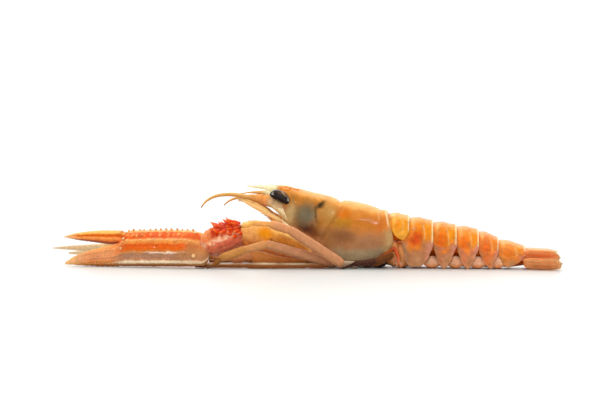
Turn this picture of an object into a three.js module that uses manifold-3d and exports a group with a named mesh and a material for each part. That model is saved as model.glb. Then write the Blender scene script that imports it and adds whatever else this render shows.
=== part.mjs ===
// A raw langoustine lying on its belly, claws stretched out in front and tail laid flat behind.
// Millimetres, +Z up. The tail points along +X and the claws along -X. The animal's left side faces -Y.
// Every hard piece of its armour is a mesh of its own, about 0.4 mm clear of the pieces beside it.
import * as THREE from "three";
import { mergeVertices } from "three/addons/utils/BufferGeometryUtils.js";
import Module from "manifold-3d";

const wasm = await Module();
wasm.setup();

// ---------------------------------------------------------------- driving dimensions

// The carapace and its rostrum. Each line is [x, value]: the ridge of the back, the lower edge and the half width.
const CARAPACE = {
  rostrumTip: -30.6,
  rear: 37.2,
  back: [[-30.6, 38.6], [-23, 38.7], [-16.8, 38.9], [-12, 38.6], [-7, 37.6], [0, 35.9], [5, 34.8], [10.6, 33.4],
    [14.4, 31.9], [19, 31.5], [22, 31], [28, 29.7], [33.6, 27.8], [37.2, 26.6]],
  edge: [[-30.6, 38], [-20, 36.2], [-14.5, 34.2], [-11.6, 22], [-6, 15.6], [0, 10.6], [7, 6], [14, 3.9], [23, 3.4],
    [30, 4.6], [35, 8], [37.2, 11.4]],
  halfWidth: [[-30.6, 0.25], [-22, 1.3], [-14.5, 3], [-11.6, 7.2], [-6, 9.1], [0, 10.4], [10, 11.9], [21, 12.6],
    [30, 12.2], [37.2, 11.1]],
  tuck: 125, // degrees from the ridge of the back round to the lower edge
  wall: 1.3, // thickness of the lower edge
  recess: 4.2, // how far the belly lies above the lower edge
  skirt: 1.9, // how far the rear edge swells backwards on the flanks
  grooveDepth: 0.75,
  grooveWidth: 1.1,
};

// The six rings of the tail: where each starts and ends, the height of its back in front and behind, its half width,
// where its side plates start, the tip of the side plates, and the heights of the belly and of the keel under it.
const TAIL_RINGS = [
  { from: 38, to: 47.2, front: 26, rear: 24.2, half: 10.6, shoulder: 18, tip: [0.66, 13.4], belly: 13.2, keel: 9, reach: -2 },
  { from: 47.7, to: 58.5, front: 24, rear: 22, half: 10.9, shoulder: 12.7, tip: [0.4, 0.9], belly: 9, keel: 5.6, reach: 3.8 },
  { from: 59.0, to: 69.5, front: 21.8, rear: 20, half: 10.5, shoulder: 12, tip: [0.48, 0], belly: 8.2, keel: 5, reach: 0 },
  { from: 70.0, to: 79.8, front: 19.9, rear: 18, half: 9.9, shoulder: 11, tip: [0.52, 0], belly: 7.4, keel: 4.4, reach: 0 },
  { from: 80.3, to: 89.0, front: 17.8, rear: 14.3, half: 9.1, shoulder: 9.4, tip: [0.64, 0.2], belly: 6.2, keel: 3.6, reach: 0 },
  { from: 89.5, to: 101.6, front: 13.9, rear: 10.4, half: 8.2, shoulder: 6.6, tip: [0.36, 0.9], belly: 4, keel: 2.4, reach: 0 },
];
const RING = { bulge: 0.8, neck: 1.1, plate: 1.1 }; // swell of each ring, depth of its front neck, thickness of a side plate

// The tail fan. A plate runs from its root to its tip, `roll` degrees over towards the table.
const TELSON = { root: [102.2, 0, 9], tip: [117, 0, 8.3], half: 5.2, thick: 1.6, roll: 0 };
const INNER_UROPOD = { root: [102.6, -7.2, 6.4], tip: [117.6, -9.6, 5.6], half: 4, thick: 1.1, roll: 44 };
const OUTER_UROPOD = { root: [102.4, -9.4, 3.4], tip: [118.6, -14.2, 2.6], half: 4.1, thick: 1.1, roll: 42 };

const EYE = { middle: [-13.4, -7.4, 33.6], length: 10, height: 5.2, width: 4.6, dip: 26, bend: 0.9 };

const CLAW = { palm: 38.4, width: 17.4, thickness: 9.6, ridge: 0.8 };
const SPINE = { radius: 0.75, height: 2.2 };

// Joints of the limbs, from the body outwards, for the animal's left side. The right side is given the same way and
// mirrored. `arm` is a claw's: hip, elbow, start of the wrist piece, start of the hand, hinge of the finger.
const LEFT = {
  arm: [[5, -7, 5.2], [0.4, -13.4, 7], [-30, -21, 16.6], [-49.6, -21.4, 9.6], [-88, -15.6, 8.7]],
  fingers: 27.6,
  armRoll: 30,
  girth: 1,
  legs: [
    { joints: [[9, -6.6, 4.6], [10.6, -10.6, 2.3], [12, -15, 2.6], [-17.5, -27.6, 12.7], [-27.4, -28.9, 9.8], [-38.6, -29.8, 5.4],
      [-45, -29.4, 0.3]], girth: [1.2, 1.5, 2.1, 1.8, 1.9, 1.25] },
    { joints: [[16, -6.6, 3.4], [20.6, -11, 1.5], [23.4, -14.6, 1.8], [16.6, -19.6, 2.5], [-7, -25.2, 18.1], [-16, -26.2, 20.9],
      [-24, -26, 21.2], [-31, -25.2, 19.2]], girth: [1, 1.3, 1.5, 2.25, 1.9, 1.1, 0.8] },
    { joints: [[22, -6.6, 3.4], [26.6, -10.6, 1.4], [31.6, -13.6, 2.4], [40, -16, 6.6], [32.4, -17.6, 3.6], [22.4, -19.4, 2.4],
      [15.4, -23.4, 0.3]], girth: [1, 1.2, 1.7, 1.4, 1.2, 0.8] },
    { joints: [[28, -6.6, 3.6], [31.4, -9.2, 2.4], [41, -10.2, 9.6], [42.8, -12.8, 5], [43.4, -13.4, 0.3]],
      girth: [1, 1.4, 1.1, 0.75] },
  ],
};
const RIGHT = {
  arm: [[5, -7, 5.2], [0.4, -13.2, 4.8], [-29.6, -16.4, 5.2], [-50.6, -19, 5.9], [-89.6, -23.6, 5.5]],
  fingers: 39,
  armRoll: 76,
  girth: 0.9,
  legs: [
    { joints: [[9, -6.6, 4.6], [10.6, -10.6, 2.3], [11, -17, 3.2], [-17, -29, 10.4], [-28, -32.4, 7.6], [-39, -34, 4.4],
      [-45.6, -34.6, 0.3]], girth: [1.2, 1.5, 2.1, 1.75, 1.9, 1.25] },
    { joints: [[16, -6.6, 3.4], [17, -11, 1.5], [17, -20, 2.3], [-5, -31.6, 9.8], [-15, -35.4, 7.2], [-24.6, -37.4, 3.4],
      [-31, -38.4, 0.3]], girth: [1, 1.4, 2.1, 1.7, 1.5, 0.9] },
    { joints: [[22, -6.6, 3.4], [22.4, -11, 1.5], [23.4, -17.6, 2.6], [14.4, -32.4, 8.8], [8.6, -37, 6.4], [3, -39.6, 2.9],
      [-0.6, -41.4, 0.3]], girth: [1, 1.3, 1.9, 1.5, 1.3, 0.8] },
    { joints: [[28, -6.6, 3.6], [29.6, -11, 1.7], [33, -18, 3], [42.4, -28.4, 7.6], [49.4, -31.6, 5], [56, -34.2, 2.4],
      [60.4, -35.8, 0.3]], girth: [1, 1.3, 1.7, 1.4, 1.2, 0.8] },
  ],
};

// Feelers and mouth legs: centre line as [x, y, z, radius].
const LEFT_FEELER = [[-14, -4.8, 27.9, 1.2], [-18.6, -4.6, 30, 1.75], [-25, -4.2, 31.8, 1.6], [-30, -4.2, 33.1, 1.15],
  [-37, -4.6, 33.8, 0.95], [-44, -5.2, 33.2, 0.75], [-49, -5.8, 30.8, 0.55], [-51.8, -6.2, 27.4, 0.3]];
const RIGHT_FEELER = [[-14, -4.8, 27.9, 1.2], [-18.6, -4.6, 30, 1.75], [-25, -4.4, 31.6, 1.5], [-30, -4.8, 32.6, 0.95],
  [-36, -6.2, 31.8, 0.7], [-40, -7.4, 29.6, 0.5], [-42.6, -8.4, 26.6, 0.3]];
const SMALL_FEELER = [[-15.6, -1.2, 33.2, 0.7], [-20, -1.6, 34.2, 0.9], [-25, -1.9, 35, 0.5], [-31, -2.2, 35.2, 0.35],
  [-35.4, -2.6, 34.4, 0.2]];
const EYE_STALK = [[-16.6, -2.4, 32.2, 0.8], [-16.4, -3.5, 32.8, 1.1], [-16.1, -4.4, 33.4, 1.15]];
const MOUTH_LEG = [[-5.4, -4.2, 13.2, 1.2], [-10, -4.6, 16.2, 1.5], [-14.6, -5, 20, 1.6], [-20, -4.8, 24.2, 1.6],
  [-26, -4.6, 27.6, 1.3], [-31, -4.4, 29.4, 1], [-36, -4.2, 30.2, 0.35]];
const FEELER_SCALE = { root: [-12.4, -8.4, 21.8], tip: [-32.6, -7.4, 32], half: 2, thick: 1.4, roll: 62 };

const STERNUM = { from: -1, to: 34, half: 4.6, depth: 2.4, gap: 0.5 };

// Swimming paddles under the tail rings, hung from the belly of the second to the fifth and from the first.
const PADDLE = { half: 1.6, growth: 0.22, thick: 1, drop: 3.1, sweep: 6.8, side: 5.8, roll: 62 };

// ---------------------------------------------------------------- materials

const shell = (color, roughness = 0.35) => new THREE.MeshStandardMaterial({ color, roughness, metalness: 0 });
const ORANGE = shell(0xf0903c);
const PEACH = shell(0xe9a070);
const TAN = shell(0xc98f56);
const PINK = shell(0xdca184);
const RED = shell(0xe2561a);
const BLACK = shell(0x17100c, 0.12);

// ---------------------------------------------------------------- ways of making a shape

const vector = ([x, y, z]) => new THREE.Vector3(x, y, z);
const mix = (a, b, t) => a + (b - a) * t;
const ease = (t) => t * t * (3 - 2 * t);
const clamp = (t) => Math.min(1, Math.max(0, t));
const power = (value, exponent) => Math.sign(value) * Math.abs(value) ** exponent;
const hump = (t, middle, width) => Math.exp(-(((t - middle) / width) ** 2));

// A smooth line through [position, value] stations that never overshoots them.
function line(stations) {
  const rise = (i) => (stations[i + 1][1] - stations[i][1]) / (stations[i + 1][0] - stations[i][0]);
  const last = stations.length - 1;
  const slope = stations.map((_, i) => {
    const before = rise(Math.max(0, i - 1));
    const after = rise(Math.min(last - 1, i));
    return before * after <= 0 ? 0 : (2 * before * after) / (before + after);
  });
  return (x) => {
    let i = 0;
    while (i < last - 1 && x > stations[i + 1][0]) i++;
    const span = stations[i + 1][0] - stations[i][0];
    const t = clamp((x - stations[i][0]) / span);
    const [a, b] = [stations[i][1], stations[i + 1][1]];
    return mix(a, b, ease(t)) + span * t * (1 - t) * ((1 - t) * slope[i] - t * slope[i + 1]);
  };
}

// A closed skin: `around` points on each of `along` + 1 rings, and one point in the middle of each end.
// point(s, v) gives a Vector3, with s from 0 to 1 end to end and v from 0 to 1 round the ring.
function skin(along, around, point, tips = []) {
  const points = [];
  for (let i = 0; i <= along; i++)
    for (let j = 0; j < around; j++) points.push(point(i / along, j / around));
  const middle = (ring) =>
    points.slice(ring * around, (ring + 1) * around).reduce((sum, p) => sum.add(p), new THREE.Vector3()).divideScalar(around);
  const ends = [points.length, points.length + 1];
  points.push(tips[0] ?? middle(0), tips[1] ?? middle(along));
  const faces = [];
  for (let j = 0; j < around; j++) {
    const k = (j + 1) % around;
    faces.push(ends[0], k, j, ends[1], along * around + j, along * around + k);
    for (let i = 0; i < along; i++) {
      const [a, b] = [i * around + j, i * around + k];
      faces.push(a, b, a + around, b, b + around, a + around);
    }
  }
  const geometry = new THREE.BufferGeometry().setFromPoints(points).setIndex(faces);
  return facingOut(geometry);
}

// Turns a closed geometry's faces outwards.
function facingOut(geometry) {
  const [a, b, c] = [new THREE.Vector3(), new THREE.Vector3(), new THREE.Vector3()];
  const { position } = geometry.attributes;
  const index = geometry.index.array;
  let volume = 0;
  for (let i = 0; i < index.length; i += 3) {
    a.fromBufferAttribute(position, index[i]);
    b.fromBufferAttribute(position, index[i + 1]);
    c.fromBufferAttribute(position, index[i + 2]);
    volume += a.dot(b.cross(c));
  }
  if (volume < 0) for (let i = 0; i < index.length; i += 3) [index[i + 1], index[i + 2]] = [index[i + 2], index[i + 1]];
  return geometry;
}

function toSolid(geometry) {
  const bare = new THREE.BufferGeometry().setAttribute("position", geometry.getAttribute("position").clone());
  bare.setIndex(geometry.index);
  const merged = mergeVertices(bare, 1e-4);
  return new wasm.Manifold(
    new wasm.Mesh({
      numProp: 3,
      vertProperties: new Float32Array(merged.attributes.position.array),
      triVerts: new Uint32Array(merged.index.array),
    }),
  );
}

function toGeometry(solid) {
  const { vertProperties, triVerts } = solid.getMesh();
  return new THREE.BufferGeometry()
    .setAttribute("position", new THREE.BufferAttribute(vertProperties, 3))
    .setIndex(new THREE.BufferAttribute(triVerts, 1));
}

// The geometry with others joined on.
const joined = (geometry, others) => toGeometry(others.reduce((sum, g) => sum.add(toSolid(g)), toSolid(geometry)));

// A pointed spine standing at a place and leaning along a direction.
function spine(place, direction, size = 1) {
  const cone = new THREE.ConeGeometry(SPINE.radius * size, SPINE.height * size, 5);
  cone.translate(0, SPINE.height * size * 0.25, 0);
  cone.applyQuaternion(new THREE.Quaternion().setFromUnitVectors(new THREE.Vector3(0, 1, 0), direction.clone().normalize()));
  return cone.translate(place.x, place.y, place.z);
}

// The frame of a limb piece that runs from a to b: X along it, Y inwards to the body, Z up, then rolled about X so
// that Z leans inwards by `roll` degrees.
function between(a, b, roll = 0) {
  const x = vector(b).sub(vector(a)).normalize();
  const y = new THREE.Vector3(0, 0, 1).cross(x).normalize();
  if (y.y < 0) y.negate();
  const z = y.clone().cross(x).normalize();
  if (z.z < 0) z.negate();
  const [c, s] = [Math.cos(THREE.MathUtils.degToRad(roll)), Math.sin(THREE.MathUtils.degToRad(roll))];
  const up = z.clone().multiplyScalar(c).addScaledVector(y, s);
  const inwards = y.clone().multiplyScalar(c).addScaledVector(z, -s);
  return new THREE.Matrix4().makeBasis(x, inwards, up).setPosition(vector(a));
}

const distance = (a, b) => vector(a).distanceTo(vector(b));

// A round limb through stations [x, y, z, radius], its rings square to the way it runs.
function tube(stations, around) {
  const places = stations.map(vector);
  const frames = places.map((_, i) => {
    const ahead = places[Math.min(i + 1, places.length - 1)].clone().sub(places[Math.max(i - 1, 0)]).normalize();
    const side = new THREE.Vector3(0.12, 0.2, 1).cross(ahead).normalize();
    return [side, ahead.clone().cross(side)];
  });
  const last = stations.length - 1;
  return skin(last, around, (s, v) => {
    const i = Math.round(s * last);
    const radius = stations[i][3];
    const angle = 2 * Math.PI * v;
    return places[i].clone()
      .addScaledVector(frames[i][0], radius * Math.cos(angle))
      .addScaledVector(frames[i][1], radius * Math.sin(angle));
  });
}

// A thin rounded plate of a given length: an oval outline, thickest in the middle.
function plate({ length, half, thick, blunt = 0.5 }, along = 6, around = 8) {
  return skin(along, around, (s, v) => {
    const t = mix(0.02, 0.985, s);
    const outline = Math.sin(Math.PI * t ** 0.8) ** blunt;
    const angle = 2 * Math.PI * v;
    const across = Math.cos(angle);
    return new THREE.Vector3(
      length * t,
      half * outline * across,
      thick * 0.5 * outline * Math.sin(angle) - half * 0.14 * across * across,
    );
  });
}

function piece(name, geometry, material, frame) {
  const mesh = new THREE.Mesh(geometry, material);
  mesh.name = name;
  if (frame) mesh.applyMatrix4(frame);
  return mesh;
}

// ---------------------------------------------------------------- carapace

const back = line(CARAPACE.back);
const edge = line(CARAPACE.edge);
const halfWidth = line(CARAPACE.halfWidth);
const bellyAt = (x) => edge(x) + Math.min(CARAPACE.recess, 0.25 * (back(x) - edge(x)));

// The neck groove runs down from the back and sweeps forwards. `down` is 0 at the ridge and 1 at the lower edge.
function groove(x, down) {
  const middle = 15.8 - 9 * ease(clamp((down - 0.3) / 0.6));
  return CARAPACE.grooveDepth * hump(x, middle, CARAPACE.grooveWidth) * (1 - ease(clamp((down - 0.75) / 0.2)));
}

// The flanks swell backwards towards the rear edge.
const lag = (x, down) => CARAPACE.skirt * ease(clamp((x - 27) / 10)) * Math.sin(Math.PI * down ** 1.3);

// One ring of the carapace: round the outside from edge to edge, then back across the hollow belly.
function carapaceGeometry() {
  const outside = 20;
  const inside = 4;
  const around = outside + inside;
  const tuck = THREE.MathUtils.degToRad(CARAPACE.tuck);
  return skin(36, around, (s, v) => {
    const face = 0.3; // share of the rings spent on the rostrum and the front of the head
    const x = s < face
      ? mix(CARAPACE.rostrumTip, -11, s / face)
      : mix(-11, CARAPACE.rear, (s - face) / (1 - face));
    const [top, bottom, half] = [back(x), edge(x), halfWidth(x)];
    const rise = (top - bottom) / (1 - Math.cos(tuck));
    const j = Math.round(v * around);
    if (j <= outside) {
      const turn = mix(-tuck, tuck, j / outside);
      const down = Math.abs(turn) / tuck;
      const cut = groove(x, down);
      return new THREE.Vector3(x + lag(x, down), (half - cut) * Math.sin(turn), top - rise + (rise - cut) * Math.cos(turn));
    }
    const t = (j - outside) / (inside + 1);
    const sideways = mix(1, -1, t);
    const rim = half * Math.sin(tuck) - Math.min(CARAPACE.wall, half * 0.2);
    const arch = Math.min(1, 1.6 * Math.sin(Math.PI * t));
    return new THREE.Vector3(x, rim * power(sideways, 0.7), mix(bottom, bellyAt(x), arch));
  });
}

// ---------------------------------------------------------------- eyes

// A bean: an egg-shaped body bowed down at both ends.
function eyeGeometry(grow = 0) {
  const [long, high, wide] = [EYE.length / 2 + grow, EYE.height / 2 + grow, EYE.width / 2 + grow];
  return skin(9, 10, (s, v) => {
    const turn = Math.PI * mix(0.06, 0.94, s);
    const angle = 2 * Math.PI * v;
    const x = -long * Math.cos(turn);
    const girth = Math.sin(turn) ** 0.8;
    return new THREE.Vector3(
      x,
      wide * girth * Math.cos(angle),
      high * girth * Math.sin(angle) - EYE.bend * (x / long) ** 2,
    );
  });
}

const eyeFrame = new THREE.Matrix4()
  .makeRotationFromEuler(new THREE.Euler(0, THREE.MathUtils.degToRad(EYE.dip), 0))
  .setPosition(vector(EYE.middle));
const mirrored = new THREE.Matrix4().makeScale(1, -1, 1);

// The sockets that the eyes sit in, cut out of the carapace.
const socket = eyeGeometry(0.45).applyMatrix4(eyeFrame);
const otherSocket = facingOut(socket.clone().applyMatrix4(mirrored));

// ---------------------------------------------------------------- tail

// Points across a ring's underside, from the right side plate to the left: [share of the half width, share of the way
// up from the side plate's end to the belly]. Between them the flesh hangs down as a keel, where the share is null.
const UNDERSIDE = [[1, 0], [1, 0.85], [0.62, 1], [0.34, null], [-0.34, null], [-0.62, 1], [-1, 0.85], [-1, 0]];

// One ring of the tail: round the outside from side plate to side plate, then back under the belly.
function ringGeometry(ring) {
  const outside = 18;
  const around = outside + 1 + UNDERSIDE.length;
  const deep = 5; // points on each side plate
  const swell = line([[0, -RING.neck], [0.16, 0], [0.42, RING.bulge], [0.72, 0.45], [0.9, 0.4], [1, 0]]);
  return skin(8, around, (s, v) => {
    const length = ring.to - ring.from;
    const top = mix(ring.front, ring.rear, s) + swell(s);
    const half = ring.half + swell(s) * 0.5;
    const away = s < ring.tip[0] ? 1 - s / ring.tip[0] : (s - ring.tip[0]) / (1 - ring.tip[0]);
    const plateEnd = mix(ring.tip[1], ring.shoulder - 0.6, away ** (s < ring.tip[0] ? 1.8 : 1.4));
    const j = Math.round(v * around);
    // The second ring's side plates reach forwards; the first ring's flanks start further back.
    const at = (depth) => ring.to - (1 - s) * (length + ring.reach * ease(clamp(depth)));
    const startsLow = ring.reach > 0;
    if (j <= outside) {
      const side = j < outside / 2 ? -1 : 1;
      const fromTop = Math.abs(j - outside / 2);
      const arc = outside / 2 - deep;
      if (fromTop <= arc) {
        const turn = (fromTop / arc) * (Math.PI / 2);
        return new THREE.Vector3(at(startsLow ? 0 : (1.3 * fromTop) / arc), side * half * Math.sin(turn),
          mix(ring.shoulder, top, Math.cos(turn) ** 0.85));
      }
      const depth = (fromTop - arc) / deep;
      return new THREE.Vector3(at(startsLow ? depth * 1.6 : 1), side * half, mix(ring.shoulder, plateEnd, depth));
    }
    const [sideways, high] = UNDERSIDE[j - outside - 1];
    const inside = high === null || high === 1;
    return new THREE.Vector3(at(inside && startsLow ? 0 : 1), (half - RING.plate) * sideways,
      high === null ? ring.keel : mix(plateEnd + 0.2, ring.belly, high));
  }, [new THREE.Vector3(ring.from + (ring.reach > 0 ? 3 : 0.8), 0, ring.belly + 2), null]);
}

// ---------------------------------------------------------------- claws

// Round a claw piece, v = 0 is the inner face, 0.25 the upper edge, 0.5 the outer face and 0.75 the lower edge.
const RIDGES = [0, 0.125, 0.25, 0.5, 0.625, 0.75];
const onRidge = (v) => RIDGES.some((r) => Math.abs(r - v) < 0.01);

// The hand: a ridged palm whose lower half runs on as the fixed finger.
function handGeometry(side) {
  const half = (CLAW.width / 2) * side.girth;
  const deep = (CLAW.thickness / 2) * side.girth;
  const { palm } = CLAW;
  const end = palm + side.fingers;
  const upper = line([[0, half * 0.3], [2, half * 0.62], [5, half * 0.9], [20, half], [palm - 1.6, half * 0.97], [palm + 0.6, half * 0.2],
    [palm + 7, half * 0.05], [palm + 17, -half * 0.22], [palm + 23.5, -half * 0.5], [end, -half * 0.84]]);
  const lower = line([[0, -half * 0.3], [2, -half * 0.64], [5, -half * 0.92], [20, -half], [palm, -half], [palm + 16, -half], [end, -half * 0.96]]);
  const thick = line([[0, deep * 0.45], [2, deep * 0.75], [6, deep * 0.98], [22, deep], [palm, deep * 0.86], [palm + 14, deep * 0.62], [end, deep * 0.1]]);
  const rings = [0, 2, 5, 10, 16, 22, 28, 33, palm - 1.6, palm - 0.4, palm + 0.6, palm + 5, palm + 11, palm + 17, palm + 23, end - 3, end];
  const around = 16;
  const body = skin(rings.length - 1, around, (s, v) => {
    const x = rings[Math.round(s * (rings.length - 1))];
    const [high, low, wide] = [upper(x), lower(x), thick(x)];
    const lift = onRidge(v) && x > 3 ? CLAW.ridge * clamp((end - x) / 20) : 0;
    const angle = 2 * Math.PI * v;
    const [c, sn] = [power(Math.cos(angle), 0.85), power(Math.sin(angle), 0.9)];
    return new THREE.Vector3(x, c * (wide + lift), (high + low) / 2 + sn * ((high - low) / 2 + lift * 0.5));
  });
  const along = [7, 12.5, 18, 23.5, 29, 34.5];
  const spines = along.map((x) => spine(new THREE.Vector3(x, 0, upper(x) + 0.2), new THREE.Vector3(0.9, 0, 1), 0.8));
  return joined(body, spines);
}

// The moving finger, from its hinge to its tip.
function fingerGeometry(side) {
  const half = (CLAW.width / 2) * side.girth;
  const start = CLAW.palm + 0.5;
  const end = CLAW.palm + side.fingers + 3.4;
  const upper = line([[start, half * 0.88], [start + 2, half * 1.02], [start + 10, half * 1.02], [end, half * 0.77]]);
  const lower = line([[start, half * 0.42], [start + 2, half * 0.28], [start + 12, half * 0.44], [end, half * 0.69]]);
  const thick = line([[start, 2.1], [start + 4, 3.1], [start + 14, 2.5], [end, 0.4]]);
  return skin(8, 8, (s, v) => {
    const x = mix(start, end, s ** 1.1);
    const angle = 2 * Math.PI * v;
    return new THREE.Vector3(x, thick(x) * side.girth * power(Math.cos(angle), 0.85),
      (upper(x) + lower(x)) / 2 + ((upper(x) - lower(x)) / 2) * power(Math.sin(angle), 0.9));
  });
}

// A swelling piece of the arm. `girths` lists [share of the length, half height, half thickness].
function armGeometry(length, girths, around, spines = []) {
  const high = line(girths.map(([t, h]) => [t, h]));
  const wide = line(girths.map(([t, , w]) => [t, w]));
  const body = skin(7, around, (s, v) => {
    const angle = 2 * Math.PI * v;
    return new THREE.Vector3(length * s, wide(s) * power(Math.cos(angle), 0.88), high(s) * power(Math.sin(angle), 0.88));
  });
  const standing = spines.map(([t, turn, size]) => {
    const angle = THREE.MathUtils.degToRad(turn);
    const out = new THREE.Vector3(0, Math.cos(angle), Math.sin(angle));
    const foot = new THREE.Vector3(length * t, wide(t) * out.y * 0.94, high(t) * out.z * 0.94);
    return spine(foot, out.add(new THREE.Vector3(0.7, 0, 0)), size);
  });
  return standing.length ? joined(body, standing) : body;
}

// Spines of the wrist piece and the upper arm: [share of the length, degrees round from the inner face, size].
const WRIST_SPINES = [[0.28, 62, 1], [0.5, 70, 1.3], [0.74, 62, 1.2], [0.4, 96, 1.2], [0.64, 100, 1.4], [0.86, 96, 1.2],
  [0.34, 132, 1], [0.58, 136, 1.2], [0.82, 132, 1.1], [0.7, 168, 0.9]];
const UPPER_ARM_SPINES = [[0.8, 92, 1.1], [0.9, 130, 1], [0.88, 50, 0.9]];

function arm(name, side) {
  const [hip, elbow, wrist, hand, hinge] = side.arm;
  const g = side.girth;
  const gap = 0.9;
  const trimmed = (a, b) => {
    const way = vector(b).sub(vector(a)).normalize();
    return [vector(a).addScaledVector(way, gap).toArray(), vector(b).addScaledVector(way, -gap).toArray()];
  };
  const group = new THREE.Group();
  const part = (label, a, b, roll, girths, around, material, spines) => {
    const [from, to] = trimmed(a, b);
    group.add(piece(`${label}_${name}`, armGeometry(distance(from, to), girths, around, spines), material, between(from, to, roll)));
  };
  part("hip", hip, elbow, 0, [[0, 1.7, 1.7], [0.4, 2.1, 2], [0.85, 2.2, 2.1], [1, 1.6, 1.6]], 8, PINK);
  part("upper_arm", elbow, wrist, side.armRoll * 0.5,
    [[0, 1.6, 1.5], [0.12, 2.7 * g, 2.4 * g], [0.5, 4.5 * g, 3.3 * g], [0.86, 5.6 * g, 4.1 * g], [1, 3 * g, 2.5 * g]],
    10, TAN, UPPER_ARM_SPINES);
  part("wrist", wrist, hand, side.armRoll * 0.8,
    [[0, 2.4 * g, 2.2 * g], [0.16, 5 * g, 4.1 * g], [0.5, 7.4 * g, 5.2 * g], [0.82, 7 * g, 4.9 * g], [1, 2.8 * g, 2.4 * g]],
    12, RED, WRIST_SPINES);
  const frame = between(hand, hinge, side.armRoll);
  group.add(piece(`hand_${name}`, handGeometry(side), ORANGE, frame));
  group.add(piece(`finger_${name}`, fingerGeometry(side), ORANGE, frame));
  return group;
}

// ---------------------------------------------------------------- legs, feelers and paddles

// Each piece of a leg: [share of its length, share of its girth].
const SHANK = [[0.08, 0.7], [0.25, 1], [0.62, 0.9], [0.9, 1.08]];
const LAST_SHANK = [[0.08, 0.85], [0.35, 1], [0.72, 0.6], [1, 0.16]];

function legGeometry({ joints, girth }) {
  const stations = girth.flatMap((radius, i) => {
    const [a, b] = [vector(joints[i]), vector(joints[i + 1])];
    const shares = i === girth.length - 1 ? LAST_SHANK : SHANK;
    return shares.map(([t, share]) => [...a.clone().lerp(b, t).toArray(), radius * share]);
  });
  return tube(stations, 7);
}

function limbs(name, side, feeler) {
  const group = new THREE.Group();
  group.add(arm(name, side));
  side.legs.forEach((leg, i) => group.add(piece(`leg_${i + 2}_${name}`, legGeometry(leg), PINK)));
  group.add(piece(`feeler_${name}`, tube(feeler, 7), ORANGE));
  group.add(piece(`small_feeler_${name}`, tube(SMALL_FEELER, 6), TAN));
  group.add(piece(`eye_stalk_${name}`, tube(EYE_STALK, 8), TAN));
  group.add(piece(`mouth_leg_${name}`, tube(MOUTH_LEG, 7), PEACH));
  const scale = FEELER_SCALE;
  group.add(piece(`feeler_scale_${name}`, plate({ ...scale, length: distance(scale.root, scale.tip) }), PEACH,
    between(scale.root, scale.tip, -scale.roll)));
  group.add(piece(`eye_${name}`, eyeGeometry(), BLACK, eyeFrame));
  for (const [label, fan] of [["inner_uropod", INNER_UROPOD], ["outer_uropod", OUTER_UROPOD]])
    group.add(piece(`${label}_${name}`, plate({ ...fan, length: distance(fan.root, fan.tip), blunt: 0.45 }, 7, 10), ORANGE,
      between(fan.root, fan.tip, fan.roll)));
  TAIL_RINGS.slice(0, 5).forEach((ring, i) => {
    const from = [mix(ring.from, ring.to, 0.4), -PADDLE.side, ring.belly - PADDLE.drop];
    const to = [from[0] + PADDLE.sweep, -PADDLE.side - 0.6, 2.6];
    const half = PADDLE.half + PADDLE.growth * Math.min(ring.belly, 9.4) * (i ? 1 : 0.6);
    group.add(piece(`paddle_${i + 1}_${name}`, plate({ ...PADDLE, half, length: distance(from, to) }, 4, 8), PEACH,
      between(from, to, PADDLE.roll)));
  });
  return group;
}

// ---------------------------------------------------------------- the animal

const langoustine = new THREE.Group();

const armour = toSolid(carapaceGeometry()).subtract(toSolid(socket)).subtract(toSolid(otherSocket));
langoustine.add(piece("carapace", toGeometry(armour), ORANGE));

const sternum = skin(8, 8, (s, v) => {
  const x = mix(STERNUM.from, STERNUM.to, s);
  const angle = 2 * Math.PI * v;
  const thick = STERNUM.depth / 2;
  return new THREE.Vector3(x, STERNUM.half * Math.cos(angle) * (s === 0 || s === 1 ? 0.7 : 1),
    bellyAt(x) - STERNUM.gap - thick + thick * power(Math.sin(angle), 0.6) * 0.9);
});
langoustine.add(piece("sternum", sternum, PEACH));

TAIL_RINGS.forEach((ring, i) => langoustine.add(piece(`tail_ring_${i + 1}`, ringGeometry(ring), ORANGE)));
langoustine.add(piece("telson", plate({ ...TELSON, length: distance(TELSON.root, TELSON.tip), blunt: 0.3 }, 7, 10), ORANGE,
  between(TELSON.root, TELSON.tip)));

const left = limbs("left", LEFT, LEFT_FEELER);
const right = limbs("right", RIGHT, RIGHT_FEELER);
right.scale.y = -1;
langoustine.add(left, right);

// The middle of the footprint goes on the origin, and the lowest point on the table.
const box = new THREE.Box3().setFromObject(langoustine, true);
langoustine.position.set(-(box.min.x + box.max.x) / 2, -(box.min.y + box.max.y) / 2, -box.min.z);

export default langoustine;
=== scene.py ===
# A raw langoustine on a white table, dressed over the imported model.
# Lengths in the dictionaries are millimetres from the middle of the animal's back, as the solids have them.
import math

import bpy
import numpy as np
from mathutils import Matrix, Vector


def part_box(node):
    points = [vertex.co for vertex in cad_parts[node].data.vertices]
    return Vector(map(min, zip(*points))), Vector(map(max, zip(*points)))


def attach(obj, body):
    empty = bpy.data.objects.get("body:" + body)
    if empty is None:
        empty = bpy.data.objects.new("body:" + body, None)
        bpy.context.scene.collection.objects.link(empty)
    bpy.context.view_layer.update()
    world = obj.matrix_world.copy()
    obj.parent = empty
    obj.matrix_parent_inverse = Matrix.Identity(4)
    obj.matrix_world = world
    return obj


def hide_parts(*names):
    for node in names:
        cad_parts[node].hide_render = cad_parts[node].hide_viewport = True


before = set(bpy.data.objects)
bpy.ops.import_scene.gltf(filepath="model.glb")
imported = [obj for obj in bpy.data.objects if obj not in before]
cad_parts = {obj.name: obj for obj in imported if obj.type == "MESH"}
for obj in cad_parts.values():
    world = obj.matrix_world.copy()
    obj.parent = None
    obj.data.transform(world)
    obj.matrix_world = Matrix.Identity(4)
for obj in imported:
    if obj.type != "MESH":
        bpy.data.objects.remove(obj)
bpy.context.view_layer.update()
print("frame loaded")

mm = 0.001
floorGap = 0.03          # nothing comes nearer to the table than this
scene = bpy.context.scene

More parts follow.
